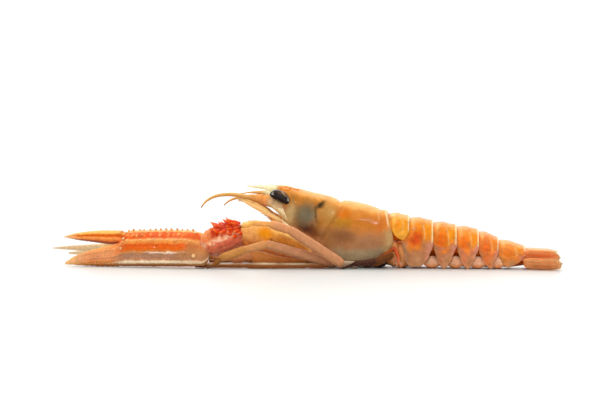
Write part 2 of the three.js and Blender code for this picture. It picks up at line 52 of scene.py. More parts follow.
# the carapace's main lines, the same as the solid's
carapace = {
    "rostrumTip": -30.6, "rear": 37.2,
    "back": [(-30.6, 38.6), (-23, 38.7), (-16.8, 38.9), (-12, 38.6), (-7, 37.6), (0, 35.9), (5, 34.8),
             (10.6, 33.4), (14.4, 31.9), (19, 31.5), (22, 31), (28, 29.7), (33.6, 27.8), (37.2, 26.6)],
    "edge": [(-30.6, 38), (-20, 36.2), (-14.5, 34.2), (-11.6, 22), (-6, 15.6), (0, 10.6), (7, 6), (14, 3.9),
             (23, 3.4), (30, 4.2), (34.6, 6.2), (37.2, 9)],
    "halfWidth": [(-30.6, 0.25), (-22, 1.3), (-14.5, 3), (-11.6, 7.2), (-6, 9.1), (0, 10.4), (10, 11.9),
                  (21, 12.6), (30, 12.2), (37.2, 11.1)],
    "tuck": math.radians(125), "wall": 1.3, "recess": 4.2,
    "skirt": [(0, 0), (0.2, 0.3), (0.45, 1.3), (0.65, 2.4), (0.8, 3.1), (0.92, 2.5), (1, 1)],
    "grooveDepth": 0.85, "grooveWidth": 1.0,
    # where the neck groove starts on the back, and how far it runs forwards
    "neck": 14.8, "sweep": 8,
    # rows, closer before the brow
    "rings": 300, "frontShare": 0.3, "brow": -11, "outside": 190, "inside": 40,
}
# where the solids' own zero went when the footprint was centred
low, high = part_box("carapace")
shift = np.array([low[0] / mm - carapace["rostrumTip"], (low[1] + high[1]) / 2 / mm, high[2] / mm - 38.89])
print("shift in mm", shift.round(3))


# numbers
def curveThrough(stations):
    # cubic between stations; each slope is the harmonic mean of the rises beside it, so nothing overshoots
    x, y = np.array(stations, float).T
    rise = np.diff(y) / np.diff(x)
    before, after = np.append(rise[:1], rise), np.append(rise, rise[-1:])
    same = before * after > 0
    slope = np.where(same, 2 * before * after / np.where(same, before + after, 1), 0)

    def at(p):
        # the cubic of the span that p falls in
        i = np.clip(np.searchsorted(x, p, side="right") - 1, 0, len(x) - 2)
        span = x[i + 1] - x[i]
        t = np.clip((p - x[i]) / span, 0, 1)
        s = t * t * (3 - 2 * t)
        return y[i] * (1 - s) + y[i + 1] * s + span * t * (1 - t) * ((1 - t) * slope[i] - t * slope[i + 1])

    return at


def ease(t):
    # 0 below 0, 1 above 1, 3t^2 - 2t^3 between
    t = np.clip(t, 0, 1)
    return t * t * (3 - 2 * t)


def hump(t, middle, width):
    # bell of height 1
    return np.exp(-(((t - middle) / width) ** 2))


def power(value, exponent):
    # a power that keeps the sign
    return np.sign(value) * np.abs(value) ** exponent


def grid(*parts):
    # x, y and z as points, each stretched to the shape they share
    return np.stack(np.broadcast_arrays(*parts), -1)


def circle(count):
    # a row of angles once round
    return 2 * np.pi * np.arange(count)[None] / count


def closing(t, exponent, least):
    # falls at both ends of a piece: the root of 1 - |2t - 1|^exponent, and of nothing under least
    return np.sqrt(np.clip(1 - np.abs(2 * t - 1) ** exponent, least, 1))


def noseDown(degrees):
    # turns rows of points about Y
    c, s = math.cos(math.radians(degrees)), math.sin(math.radians(degrees))
    return np.array([[c, 0, -s], [0, 1, 0], [s, 0, c]])


def rowsOf(keys, *rows):
    # one dictionary for each row of values
    return [dict(zip(keys.split(), row)) for row in rows]


def ripple(points, size, seed, waves=14):
    # sum of sines with random directions and phases, wavelength about `size` mm, roughly -1 to 1
    rng = np.random.default_rng(seed)
    k = rng.normal(size=(waves, 3))
    k *= (2 * np.pi / size * rng.uniform(0.6, 1.5, (waves, 1))) / np.linalg.norm(k, axis=1, keepdims=True)
    phase = rng.uniform(0, 2 * np.pi, waves)
    return np.sin(points @ k.T + phase).sum(-1) / math.sqrt(waves)


def unit(v):
    # v at length 1
    return v / np.maximum(np.linalg.norm(v, axis=-1, keepdims=True), 1e-9)


def colour(r, g, b):
    # sRGB 0 to 255 as the eye sees it in this light, to the linear base colour that
    # gives it: less the sheen's white, deeper, and the greener the stronger the colour
    c = np.array([r, g, b], float) / 255
    seen = np.where(c <= 0.04045, c / 12.92, ((c + 0.055) / 1.055) ** 2.4)
    strong = (seen.max() - seen.min()) / seen.max()
    return np.clip(seen * [0.99, 0.985 + 0.09 * strong, 0.985] - 0.015, 0.0015, 0.96) ** 1.06


def colours(*rows):
    # one colour for each row of red, green and blue
    return [colour(*row) for row in rows]


def bands(*rows):
    # (place, colour) for each row of place, red, green and blue
    return [(row[0], colour(*row[1:])) for row in rows]


def mottled(tone, points, *rows):
    # tone x (1 + the sum of share x ripple) over rows of share, size in mm and seed
    return tone * (1 + sum(share * ripple(points, size, seed) for share, size, seed in rows))[..., None]


def blend(base, other, share):
    # from base at share 0 straight to other at share 1
    return base + (other - base) * np.clip(share, 0, 1)[..., None]


# meshes
def facesOf(rings, around, closed=True):
    # quads between neighbouring rings, wrapping round each ring when closed
    i, j = np.meshgrid(np.arange(rings - 1), np.arange(around if closed else around - 1), indexing="ij")
    k = (j + 1) % around
    a, b = i * around + j, i * around + k
    return np.stack([a, b, b + around, a + around], -1).reshape(-1, 4)


def normalsOf(points):
    # unit cross product of the two ways along the grid; the second way wraps round
    along = np.gradient(points, axis=0)
    round_ = np.roll(points, -1, axis=1) - np.roll(points, 1, axis=1)
    return unit(np.cross(along, round_))


def outwards(points):
    # normals turned to point away from each ring's middle
    n = normalsOf(points)
    middle = points.mean(axis=1, keepdims=True)
    return n * np.where(((points - middle) * n).sum(-1, keepdims=True).mean() < 0, -1, 1)


def closedSkin(points, tint):
    # rings x around x 3, closed round each ring and by a fan
    # at each end; returns vertices, quads, triangles, tints
    tint = np.clip(np.broadcast_to(tint, points.shape), 0, 1)
    rings, around = points.shape[:2]
    verts = np.concatenate([points.reshape(-1, 3), points[0].mean(0)[None], points[-1].mean(0)[None]])
    tints = np.concatenate([tint.reshape(-1, 3), tint[0].mean(0)[None], tint[-1].mean(0)[None]])
    quads = facesOf(rings, around)
    j = np.arange(around)
    k = (j + 1) % around
    first, last = rings * around, rings * around + 1
    base = (rings - 1) * around
    tris = np.concatenate([np.stack([np.full(around, first), k, j], -1),
                           np.stack([np.full(around, last), base + j, base + k], -1)])
    a, b, c = (verts[tris[:, m]] for m in range(3))
    volume = (a * np.cross(b, c)).sum()
    a, b, c, d = (verts[quads[:, m]] for m in range(4))
    volume += (a * np.cross(b, c)).sum() + (a * np.cross(c, d)).sum()
    if volume < 0:
        quads, tris = quads[:, ::-1], tris[:, ::-1]
    return verts, quads, tris, tints


def joinSkins(skins):
    # several skins as one, each one's faces counted on from the last one's vertices
    verts, quads, tris, tints, start = [], [], [], [], 0
    for v, q, t, c in skins:
        verts.append(v)
        quads.append(q + start)
        tris.append(t + start)
        tints.append(c)
        start += len(v)
    return [np.concatenate(part) for part in (verts, quads, tris, tints)]


def mirrorSkin(skin, side):
    # side -1 is the animal's left, as built; +1 mirrors it to the right and turns the faces back
    verts, quads, tris, tints = skin
    if side < 0:
        return skin
    return verts * [1, -1, 1], quads[:, ::-1], tris[:, ::-1], tints


def addPiece(name, skin, look, sign=-1, node=None):
    # one mesh with its tints; look is its material and node the solid that it stands for
    verts, quads, tris, tints = mirrorSkin(skin, sign)
    mesh = bpy.data.meshes.new(name)
    mesh.vertices.add(len(verts))
    place = (verts + shift) * mm
    place[:, 2] = np.maximum(place[:, 2], floorGap * mm)
    mesh.vertices.foreach_set("co", place.astype(np.float32).ravel())
    loops = np.concatenate([quads.ravel(), tris.ravel()]).astype(np.int32)
    mesh.loops.add(len(loops))
    mesh.loops.foreach_set("vertex_index", loops)
    starts = np.concatenate([np.arange(len(quads)) * 4, len(quads) * 4 + np.arange(len(tris)) * 3])
    starts = starts.astype(np.int32)
    mesh.polygons.add(len(starts))
    mesh.polygons.foreach_set("loop_start", starts)
    mesh.polygons.foreach_set("use_smooth", np.ones(len(starts), bool))
    paint = mesh.attributes.new("tint", "FLOAT_COLOR", "POINT")
    paint.data.foreach_set("color", np.c_[tints, np.ones(len(tints))].astype(np.float32).ravel())
    mesh.update(calc_edges=True)
    mesh.validate()
    mesh.materials.append(materials[look])
    piece = bpy.data.objects.new(name, mesh)
    scene.collection.objects.link(piece)
    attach(piece, "root")
    if node:
        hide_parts(node)


def pathThrough(stations, count):
    # uniform Catmull-Rom through the stations, all columns alike, `count` rows
    p = np.array(stations, float)
    p = np.concatenate([[2 * p[0] - p[1]], p, [2 * p[-1] - p[-2]]])
    t = np.linspace(0, len(p) - 3 - 1e-9, count)
    i = t.astype(int)
    f = (t - i)[:, None]
    a, b, c, d = p[i], p[i + 1], p[i + 2], p[i + 3]
    return 0.5 * (2 * b + (c - a) * f + (2 * a - 5 * b + 4 * c - d) * f ** 2 + (3 * b - a - 3 * c + d) * f
                  ** 3)


def framesAlong(path):
    # unit vectors ahead, sideways and up for each row of the path
    ahead = unit(np.gradient(path[:, :3], axis=0))
    side = unit(np.cross(np.array([0.12, 0.2, 1.0]), ahead))
    return ahead, side, np.cross(ahead, side)


def tubeAlong(stations, count, around, tint, swell=None, flat=1.0):
    # circle of radius r(s) * swell(s) carried along the path, square to it; flat squeezes it sideways
    p = pathThrough(stations, count)
    _, side, up = framesAlong(p)
    s = np.linspace(0, 1, count)
    radius = np.maximum(p[:, 3], 0.02) * (swell(s) if swell else 1)
    turn = circle(around)[0]
    points = p[:, None, :3] + radius[:, None, None] * (
        flat * np.cos(turn)[None, :, None] * side[:, None] + np.sin(turn)[None, :, None] * up[:, None])
    return closedSkin(points, tint(s, turn) if callable(tint) else tint)


def limbFrame(a, b, roll=0.0):
    # rows: along the piece, inwards to the body, up; rolled so that up leans inwards
    a, b = np.array(a, float), np.array(b, float)
    x = unit(b - a)
    y = unit(np.cross([0, 0, 1], x))
    y = -y if y[1] < 0 else y
    z = unit(np.cross(y, x))
    z = -z if z[2] < 0 else z
    c, s = math.cos(math.radians(roll)), math.sin(math.radians(roll))
    return a, np.array([x, y * c - z * s, z * c + y * s]), float(np.linalg.norm(b - a))


def placed(points, basis, start):
    # from a limb's own frame to the animal's
    return points @ basis + start


def placedSkin(skin, basis, start):
    # the same for a whole skin
    verts, quads, tris, tints = skin
    return placed(verts, basis, start), quads, tris, tints


def tall(size, thin):
    # sizes for scatter: thin both ways across, size along
    return np.stack([thin + 0 * size, thin + 0 * size, size], -1)


def bandTone(bands, v):
    # tint at v straight between the neighbouring stations of (v, tint)
    at, tints = [b[0] for b in bands], np.array([b[1] for b in bands])
    return np.stack([np.interp(v, at, tints[:, k]) for k in range(3)], -1)


def scatter(shape, places, aims, sizes, tints, tips=None):
    # copies of a small shape (vertices along +Z, quads, triangles);
    # aims are unit vectors, sizes (n,) or (n, 3); tips tint their ends
    verts, quads, tris = shape
    z = unit(np.asarray(aims, float))
    helper = np.where(np.abs(z[:, 2:3]) > 0.9, [[1.0, 0, 0]], [[0, 0, 1.0]])
    x = unit(np.cross(helper, z))
    basis = np.stack([x, np.cross(z, x), z], 1)
    sizes = np.asarray(sizes, float)
    sizes = sizes[:, None] * np.ones(3) if sizes.ndim == 1 else sizes
    all_ = np.einsum("vk,nk,nkj->nvj", verts, sizes, basis) + np.asarray(places)[:, None]
    step = (np.arange(len(places)) * len(verts))[:, None, None]
    tint = np.broadcast_to(np.asarray(tints, float).reshape(-1, 1, 3) if np.ndim(tints) > 1 else tints,
                           (len(places), len(verts), 3))
    if tips is not None:
        tint = blend(tint, np.asarray(tips),
                     np.broadcast_to(ease((verts[:, 2] - 0.35) / 0.5), tint.shape[:2]))
    return (all_.reshape(-1, 3), (quads[None] + step).reshape(-1, 4), (tris[None] + step).reshape(-1, 3),
            tint.reshape(-1, 3))


def spikeShape(sides=7, rings=5, bend=0.25, sharp=1.0):
    # cone of height 1 and radius 1 whose axis bows by bend * h^2 towards +X
    h = np.linspace(0, 1, rings + 1)[:, None]
    turn = circle(sides)
    r = (1 - h) ** sharp * 0.98 + 0.02
    return closedSkin(grid(r * np.cos(turn) + bend * h ** 2, r * np.sin(turn), h), 0)[:3]


def beadShape(sides=8, rings=4):
    # squat dome of radius 1, its foot sunk a little
    a = np.linspace(-0.25, 0.94, rings + 1)[:, None] * np.pi / 2
    turn = circle(sides)
    return closedSkin(grid(np.cos(a) * np.cos(turn), np.cos(a) * np.sin(turn), np.sin(a)), 0)[:3]


spike, bead, hair = spikeShape(), beadShape(), spikeShape(3, 3, 0.35, 0.7)
print("tools ready")

# materials
finishes = {
    "body": {"rough": (0.3, 0.5), "grain": 900, "bump": 0.05, "mottle": 0.08, "soak": 0.08, "coat": 0.42},
    "tail": {"rough": (0.28, 0.46), "grain": 700, "bump": 0.07, "mottle": 0.08, "soak": 0.1, "coat": 0.45},
    "claw": {"rough": (0.3, 0.5), "grain": 800, "bump": 0.12, "mottle": 0.09, "soak": 0.08, "coat": 0.38},
    "leg": {"rough": (0.3, 0.48), "grain": 1000, "bump": 0.1, "mottle": 0.08, "soak": 0.15, "coat": 0.5},
    "flesh": {"rough": (0.3, 0.5), "grain": 500, "bump": 0.15, "mottle": 0.08, "soak": 0.3, "coat": 0.5},
    "hair": {"rough": (0.4, 0.55), "grain": 400, "bump": 0.0, "mottle": 0.1, "soak": 0.1, "coat": 0.0},
}
# what all of them share
wet = {
    "warmth": {"Red": 0.1, "Green": 0.45, "Blue": 0.8}, "slow": 160, "poreDepth": 0.0004, "gloss": 0.06,
    "soakColour": (1, 0.42, 0.2), "soakDepth": 0.0015, "coatIor": 1.33, "coatRough": 0.07,
}
eyeLook = {
    "tones": ((0.003, 0.002, 0.002, 1), (0.022, 0.01, 0.008, 1)), "reach": (0.4, 0.75), "patches": 260,
    "facets": 7000, "facetDepth": 0.00005, "bump": 0.08, "rough": 0.16, "gloss": 0.08,
    "coat": 0.4, "coatIor": 1.4, "coatRough": 0.04,
}


def fill(node, values):
    # an input takes a link if its value is another node's output, else the value itself
    for key, value in values.items():
        if isinstance(value, bpy.types.NodeSocket):
            node.id_data.links.new(value, node.inputs[key])
        else:
            node.inputs[key].default_value = value


def addNode(tree, kind, values, output=0, operation=None):
    # a new node with its inputs filled; returns one of its outputs
    node = tree.nodes.new("ShaderNode" + kind)
    if operation:
        node.operation = operation
    fill(node, values)
    return node.outputs[output]


def mixed(tree, way, a, b):
    # two colours multiplied or added in full
    node = tree.nodes.new("ShaderNodeMix")
    node.data_type = "RGBA"
    node.blend_type = way
    fill(node, {"Factor": 1, "A": a, "B": b})
    return node.outputs["Result"]


def newMaterial(name):
    # a plain material, its node tree, its shader, the object's own coordinates and the painted tint
    material = bpy.data.materials.new(name)
    material.use_nodes = True
    tree = material.node_tree
    tint = tree.nodes.new("ShaderNodeAttribute")
    tint.attribute_name = "tint"
    place = addNode(tree, "TexCoord", {}, "Object")
    return material, tree, tree.nodes["Principled BSDF"], place, tint.outputs["Color"]


def wetShell(name, look):
    # painted tint x fine mottling, pores as bump, roughness
    # from a slow noise, thin wet coat, light soaking in
    material, tree, shader, place, tint = newMaterial(name)

    def noise(scale, detail, rough=0.6):
        # cloudy noise over the piece, about 0.3 to 0.7
        values = {"Scale": scale, "Detail": detail, "Roughness": rough, "Vector": place}
        return addNode(tree, "TexNoise", values, "Fac")

    def mapped(value, low, high):
        # 0.3 to 0.7 stretched to low to high
        values = {"From Min": 0.3, "From Max": 0.7, "To Min": low, "To Max": high, "Value": value}
        return addNode(tree, "MapRange", values, "Result")

    # mottling darkens and reddens in patches of about 1 mm and flecks of about 0.2 mm
    patches = mapped(noise(look["grain"] * 0.9, 4), 1 - look["mottle"], 1 + look["mottle"] * 0.7)
    slow = mapped(noise(wet["slow"], 3), -1, 1)
    warmth = {channel: addNode(tree, "Math", {0: slow, 1: weight * look["mottle"], 2: patches}, 0,
                               "MULTIPLY_ADD")
              for channel, weight in wet["warmth"].items()}
    fill(shader, {
        "Base Color": mixed(tree, "MULTIPLY", tint, addNode(tree, "CombineColor", warmth, "Color")),
        "Roughness": mapped(noise(look["grain"] * 0.4, 3), *look["rough"]),
        "Subsurface Weight": look["soak"], "Subsurface Radius": wet["soakColour"],
        "Subsurface Scale": wet["soakDepth"],
        "Specular IOR Level": wet["gloss"], "Coat Weight": look["coat"], "Coat IOR": wet["coatIor"],
        "Coat Roughness": wet["coatRough"]})
    if look["bump"]:
        pores = addNode(tree, "TexVoronoi", {"Scale": look["grain"] * 1.6, "Vector": place}, "Distance")
        relief = addNode(tree, "Math", {0: pores, 1: noise(look["grain"], 5, 0.7)}, 0, "ADD")
        values = {"Strength": look["bump"], "Distance": wet["poreDepth"], "Height": relief}
        bump = addNode(tree, "Bump", values, "Normal")
        fill(shader, {"Normal": bump, "Coat Normal": bump})
    return material


def eyeMaterial():
    # near black mottled purple brown in slow patches, with the tint added on top, which holds a painted
    # reflection and painted glints; fine facets as bump, wet coat
    material, tree, shader, place, tint = newMaterial("blackEye")
    ramp = tree.nodes.new("ShaderNodeValToRGB")
    for element, reach, tone in zip(ramp.color_ramp.elements, eyeLook["reach"], eyeLook["tones"]):
        element.position = reach
        element.color = tone
    fill(ramp, {"Fac": addNode(tree, "TexNoise", {"Scale": eyeLook["patches"], "Vector": place}, "Fac")})
    facets = addNode(tree, "TexVoronoi", {"Scale": eyeLook["facets"], "Vector": place}, "Distance")
    values = {"Strength": eyeLook["bump"], "Distance": eyeLook["facetDepth"], "Height": facets}
    fill(shader, {
        "Base Color": mixed(tree, "ADD", ramp.outputs["Color"], tint),
        "Normal": addNode(tree, "Bump", values, "Normal"), "Roughness": eyeLook["rough"],
        "Specular IOR Level": eyeLook["gloss"], "Coat Weight": eyeLook["coat"],
        "Coat IOR": eyeLook["coatIor"],
        "Coat Roughness": eyeLook["coatRough"]})
    return material


materials = {name: wetShell(name + "Shell", look) for name, look in finishes.items()}
materials["eye"] = eyeMaterial()
print("materials ready")

# carapace
back, edge, halfWidth = (curveThrough(carapace[k]) for k in ("back", "edge", "halfWidth"))
carapacePaint = {
    "ridge": colour(246, 172, 92), "flank": colour(226, 138, 62), "low": colour(190, 128, 88),
    "hem": colour(192, 164, 132),
    "hemRear": colour(208, 164, 114), "rim": colour(255, 226, 180), "rostrum": colour(255, 240, 200),
    # inside: painted shade, dark brown for the hollow under the body
    "inside": colour(150, 84, 50),
    # groove: painted shade for the grooves
    "groove": colour(186, 112, 44),
}
# soft patches of colour on each flank: x and z of the middle, half sizes
# along and up, tilt in degrees, how sharp the edge is, share and tint
carapaceZones = {
    "brow": (-8.6, 37.6, 5.5, 1.9, -12, 1.4, 0.9, colour(232, 128, 34)),
    "behindEye": (-7.6, 30.6, 2.6, 5.2, 0, 1.2, 0.85, colour(176, 116, 56)),
    # painted highlight: a pale sheen along the top of the back
    "topPaintedHighlight": (2, 34.6, 7.5, 1.7, -12, 1.2, 0.8, colour(252, 178, 116)),
    "templeBand": (-2, 31.6, 8, 1.5, -8, 1.3, 0.8, colour(196, 120, 46)),
    "face": (-8.8, 23.5, 3.4, 6.5, -8, 1.2, 0.9, colour(196, 158, 112)),
    "cheek": (-1.2, 25, 6.2, 6.4, 4, 2.2, 0.97, colour(124, 108, 80)),
    "cheekBloom": (0.2, 23.4, 3.8, 4, 10, 1.1, 0.55, colour(132, 122, 104)),
    "cheekFront": (-8.6, 24, 2, 5, -4, 1.4, 0.85, colour(206, 172, 124)),
    "lens": (9.2, 24.4, 5, 6.2, 22, 2.2, 0.95, colour(192, 132, 70)),
    "lensLight": (11, 25, 2.3, 5, 24, 1.3, 0.8, colour(212, 158, 98)),
    "lensDark": (5.2, 20.4, 3, 3, 30, 1.3, 0.8, colour(160, 102, 40)),
    "seam": (3.5, 25, 0.6, 5, 6, 1.2, 0.85, colour(112, 80, 40)),
    "darkSpot": (5.8, 29.6, 3, 1.5, 38, 1.5, 0.97, colour(52, 48, 34)),
    "jaw": (-0.4, 18.2, 5.4, 2.3, -12, 1.4, 0.92, colour(88, 46, 26)),
    "jawRear": (5, 16, 4, 1.8, -14, 1.3, 0.8, colour(124, 68, 30)),
    "orangeSpot": (17, 25.6, 3.4, 2.7, 0, 1.7, 0.95, colour(214, 116, 8)),
    # painted highlight: a pale sheen high on the rear of the back
    "rearPaintedHighlight": (24, 29.2, 7.5, 2, -14, 1.4, 0.75, colour(255, 184, 112)),
    "olive": (15.6, 21, 6.4, 2.4, -4, 1.5, 0.85, colour(188, 126, 40)),
    "brown": (16.6, 15.4, 6.8, 4.2, -6, 1.6, 0.92, colour(142, 90, 54)),
    "brownLow": (9, 15, 3.2, 4.6, 24, 1.4, 0.8, colour(168, 116, 70)),
    "midRear": (27, 20.6, 6.5, 5, -20, 1.5, 0.8, colour(200, 118, 52)),
    "rearBlush": (33, 19.4, 2.4, 6.2, -8, 1.4, 0.7, colour(214, 116, 52)),
    "lowRear": (29.5, 13, 6.8, 3.6, 12, 1.5, 0.8, colour(184, 128, 92)),
}


def zoneShare(zone, x, z):
    # share in the middle, falling as exp(-r^(2 sharp)) over an oval turned by tilt
    middleX, middleZ, long, high, tilt, sharp, share, _ = zone
    c, s = math.cos(math.radians(tilt)), math.sin(math.radians(tilt))
    u, v = x - middleX, z - middleZ
    r2 = ((u * c + v * s) / long) ** 2 + ((v * c - u * s) / high) ** 2
    return share * np.exp(-r2 ** sharp)


def bellyAt(x):
    # height of the hollow's roof: the edge plus recess, or
    # a quarter of the way to the back where that is less
    return edge(x) + np.minimum(carapace["recess"], 0.25 * (back(x) - edge(x)))


def carapaceSkin():
    # outside: (x, w sin a, top - h + h cos a) with a from
    # -125 to 125 degrees; inside: across the hollow belly
    c = carapace
    s = np.linspace(0, 1, c["rings"])[:, None]
    front, brow = c["frontShare"], c["brow"]
    x = np.where(s < front, c["rostrumTip"] + (s / front) * (brow - c["rostrumTip"]),
                 brow + (s - front) / (1 - front) * (c["rear"] - brow))
    top, bottom, half = back(x), edge(x), halfWidth(x)
    rise = (top - bottom) / (1 - math.cos(c["tuck"]))
    turn = np.linspace(-1, 1, c["outside"])[None]
    down = np.abs(turn)
    a = turn * c["tuck"]
    # the neck groove runs down from the back and sweeps forwards; a second one runs along the flank behind it
    neck = c["neck"] - c["sweep"] * ease((down - 0.3) / 0.6)
    cut = c["grooveDepth"] * hump(x, neck, c["grooveWidth"]) * (1 - ease((down - 0.75) / 0.2))
    cut = cut + 0.3 * hump(x, neck - 5.5, 1.3) * ease((down - 0.3) / 0.2) * (1 - ease((down - 0.62) / 0.12))
    cut = cut + 0.35 * hump(x, c["rear"] - 3.2, 0.7) * (1 - 0.3 * down)
    cut = cut - 0.35 * hump(x, c["rear"] - 1.2, 0.9)
    swell = 0.25 * hump(x, neck + 6, 5) * (1 - down) - 0.5 * hump(down, 0.17, 0.05) * ease((-3 - x)
            / 5) * ease((x + 24) / 4)
    cut = cut - swell * 0.6
    lag = ease((x - 27) / 10) * curveThrough(c["skirt"])(down)
    outer = grid(x + lag, (half - cut) * np.sin(a), top - rise + (rise - cut) * np.cos(a))
    t = np.linspace(0, 1, c["inside"] + 2)[1:-1][None]
    rim = half * math.sin(c["tuck"]) - np.minimum(c["wall"], half * 0.2)
    arch = np.minimum(1, 1.6 * np.sin(np.pi * t))
    inner = grid(x, rim * power(1 - 2 * t, 0.7), bottom + (bellyAt(x) - bottom) * arch)
    points = np.concatenate([outer, inner], 1)
    rough = ripple(outer, 1.5, 3) * 0.012 + ripple(outer, 5, 4) * 0.06
    points[:, :c["outside"]] += outwards(points)[:, :c["outside"]] * (rough * ease((x + 16) / 4))[..., None]

    p = carapacePaint
    wobbleX, wobbleZ = (0.5 * ripple(outer, 7, seed) + 0.25 * ripple(outer, 2.5, seed + 1)
                        for seed in (8, 10))
    wide, z = x + 0 * down + wobbleX, outer[..., 2] + wobbleZ
    # down the flank from the ridge's tone to the low one: partly the shell's own colour, partly painted shade
    # on the lower flank
    tone = blend(p["ridge"], p["flank"], ease((down - 0.16) / 0.25))
    tone = blend(tone, p["low"], ease((down - 0.5) / 0.28))
    for zone in carapaceZones.values():
        tone = blend(tone, zone[-1], zoneShare(zone, wide, z) * ease((down - 0.04) / 0.08))
    tone = blend(tone, p["hem"], ease((down - 0.78 + 0.02 * wobbleZ) / 0.14) * ease((wide - 7) / 9))
    tone = blend(tone, p["hemRear"], 0.85 * ease((wide + lag - 34.2 + 0 * down) / 4)
                 * ease((down - 0.5) / 0.2))
    # painted shade: darker where the grooves cut deepest
    tone = blend(tone, p["groove"], 0.25 * np.clip(cut / 0.8, 0, 1) * ease((down - 0.1) / 0.3))
    tone = blend(tone, p["rostrum"], ease((-13.4 - wide) / 5))
    tone = blend(tone, p["rim"], 0.85 * hump(wide - wobbleX, c["rear"] - 0.8, 0.36)
                 * (1 - ease((down - 0.46) / 0.12))
                 + 0.25 * hump(wide - wobbleX, c["rear"] - 4.4, 0.36) * (1 - ease((down - 0.36) / 0.1)))
    tone = mottled(tone, outer, (0.05, 6, 21), (0.025, 1.8, 22))
    # the hollow's inner side takes the painted shade
    tints = np.concatenate([tone, np.broadcast_to(p["inside"], inner.shape)], 1)
    return closedSkin(points, tints)


addPiece("carapaceShell", carapaceSkin(), "body", node="carapace")
print("carapace built")

# tail
tail = {
    "rings": rowsOf("from to front rear half shoulder tip belly keel reach round",
                    (38, 47.2, 26, 24.2, 10.6, 18, (0.66, 13.4), 13.2, 9, -2, 1),
                    (47.7, 58.5, 24, 22, 10.9, 12.7, (0.4, 0.9), 9, 5.6, 3.8, 2),
                    (59.0, 69.5, 21.8, 20, 10.5, 12, (0.48, 0), 8.2, 5, 0, 1),
                    (70.0, 79.8, 19.9, 18, 9.9, 11, (0.52, 0), 7.4, 4.4, 0, 1),
                    (80.3, 89.0, 17.8, 14.3, 9.1, 9.4, (0.64, 0.2), 6.2, 3.6, 0, 1),
                    (89.5, 101.6, 13.9, 10.4, 8.2, 6.6, (0.36, 0.9), 4, 2.4, 0, 1)),
    "bulge": 0.75, "neck": 0.4, "plate": 1.1, "tuckUnder": 1.7, "lipOver": 0.45,
    "back": colours((226, 166, 66), (236, 152, 58), (240, 148, 56), (248, 150, 64), (244, 150, 76),
                    (248, 160, 90)),
    "flank": colours((250, 170, 66), (242, 140, 42), (242, 136, 38), (252, 146, 58), (244, 134, 64),
                     (248, 146, 70)),
    "hot": colours((248, 142, 24), (218, 76, 18), (226, 98, 24), (246, 112, 30), (238, 108, 42),
                   (236, 122, 42)),
    "gold": colour(244, 148, 24), "pale": colour(255, 202, 128), "rim": colour(255, 226, 178),
    "seam": colour(206, 104, 40),
    "plateTint": colours((206, 116, 78), (196, 124, 86), (206, 124, 88), (224, 130, 92), (228, 122, 66),
                         (238, 140, 66)),
    "plateMiddle": colour(204, 148, 108), "plateRear": colour(226, 150, 128),
    "plateFront": colour(166, 134, 98),
    "plateTip": colour(214, 150, 112), "inside": colour(222, 108, 44),
}


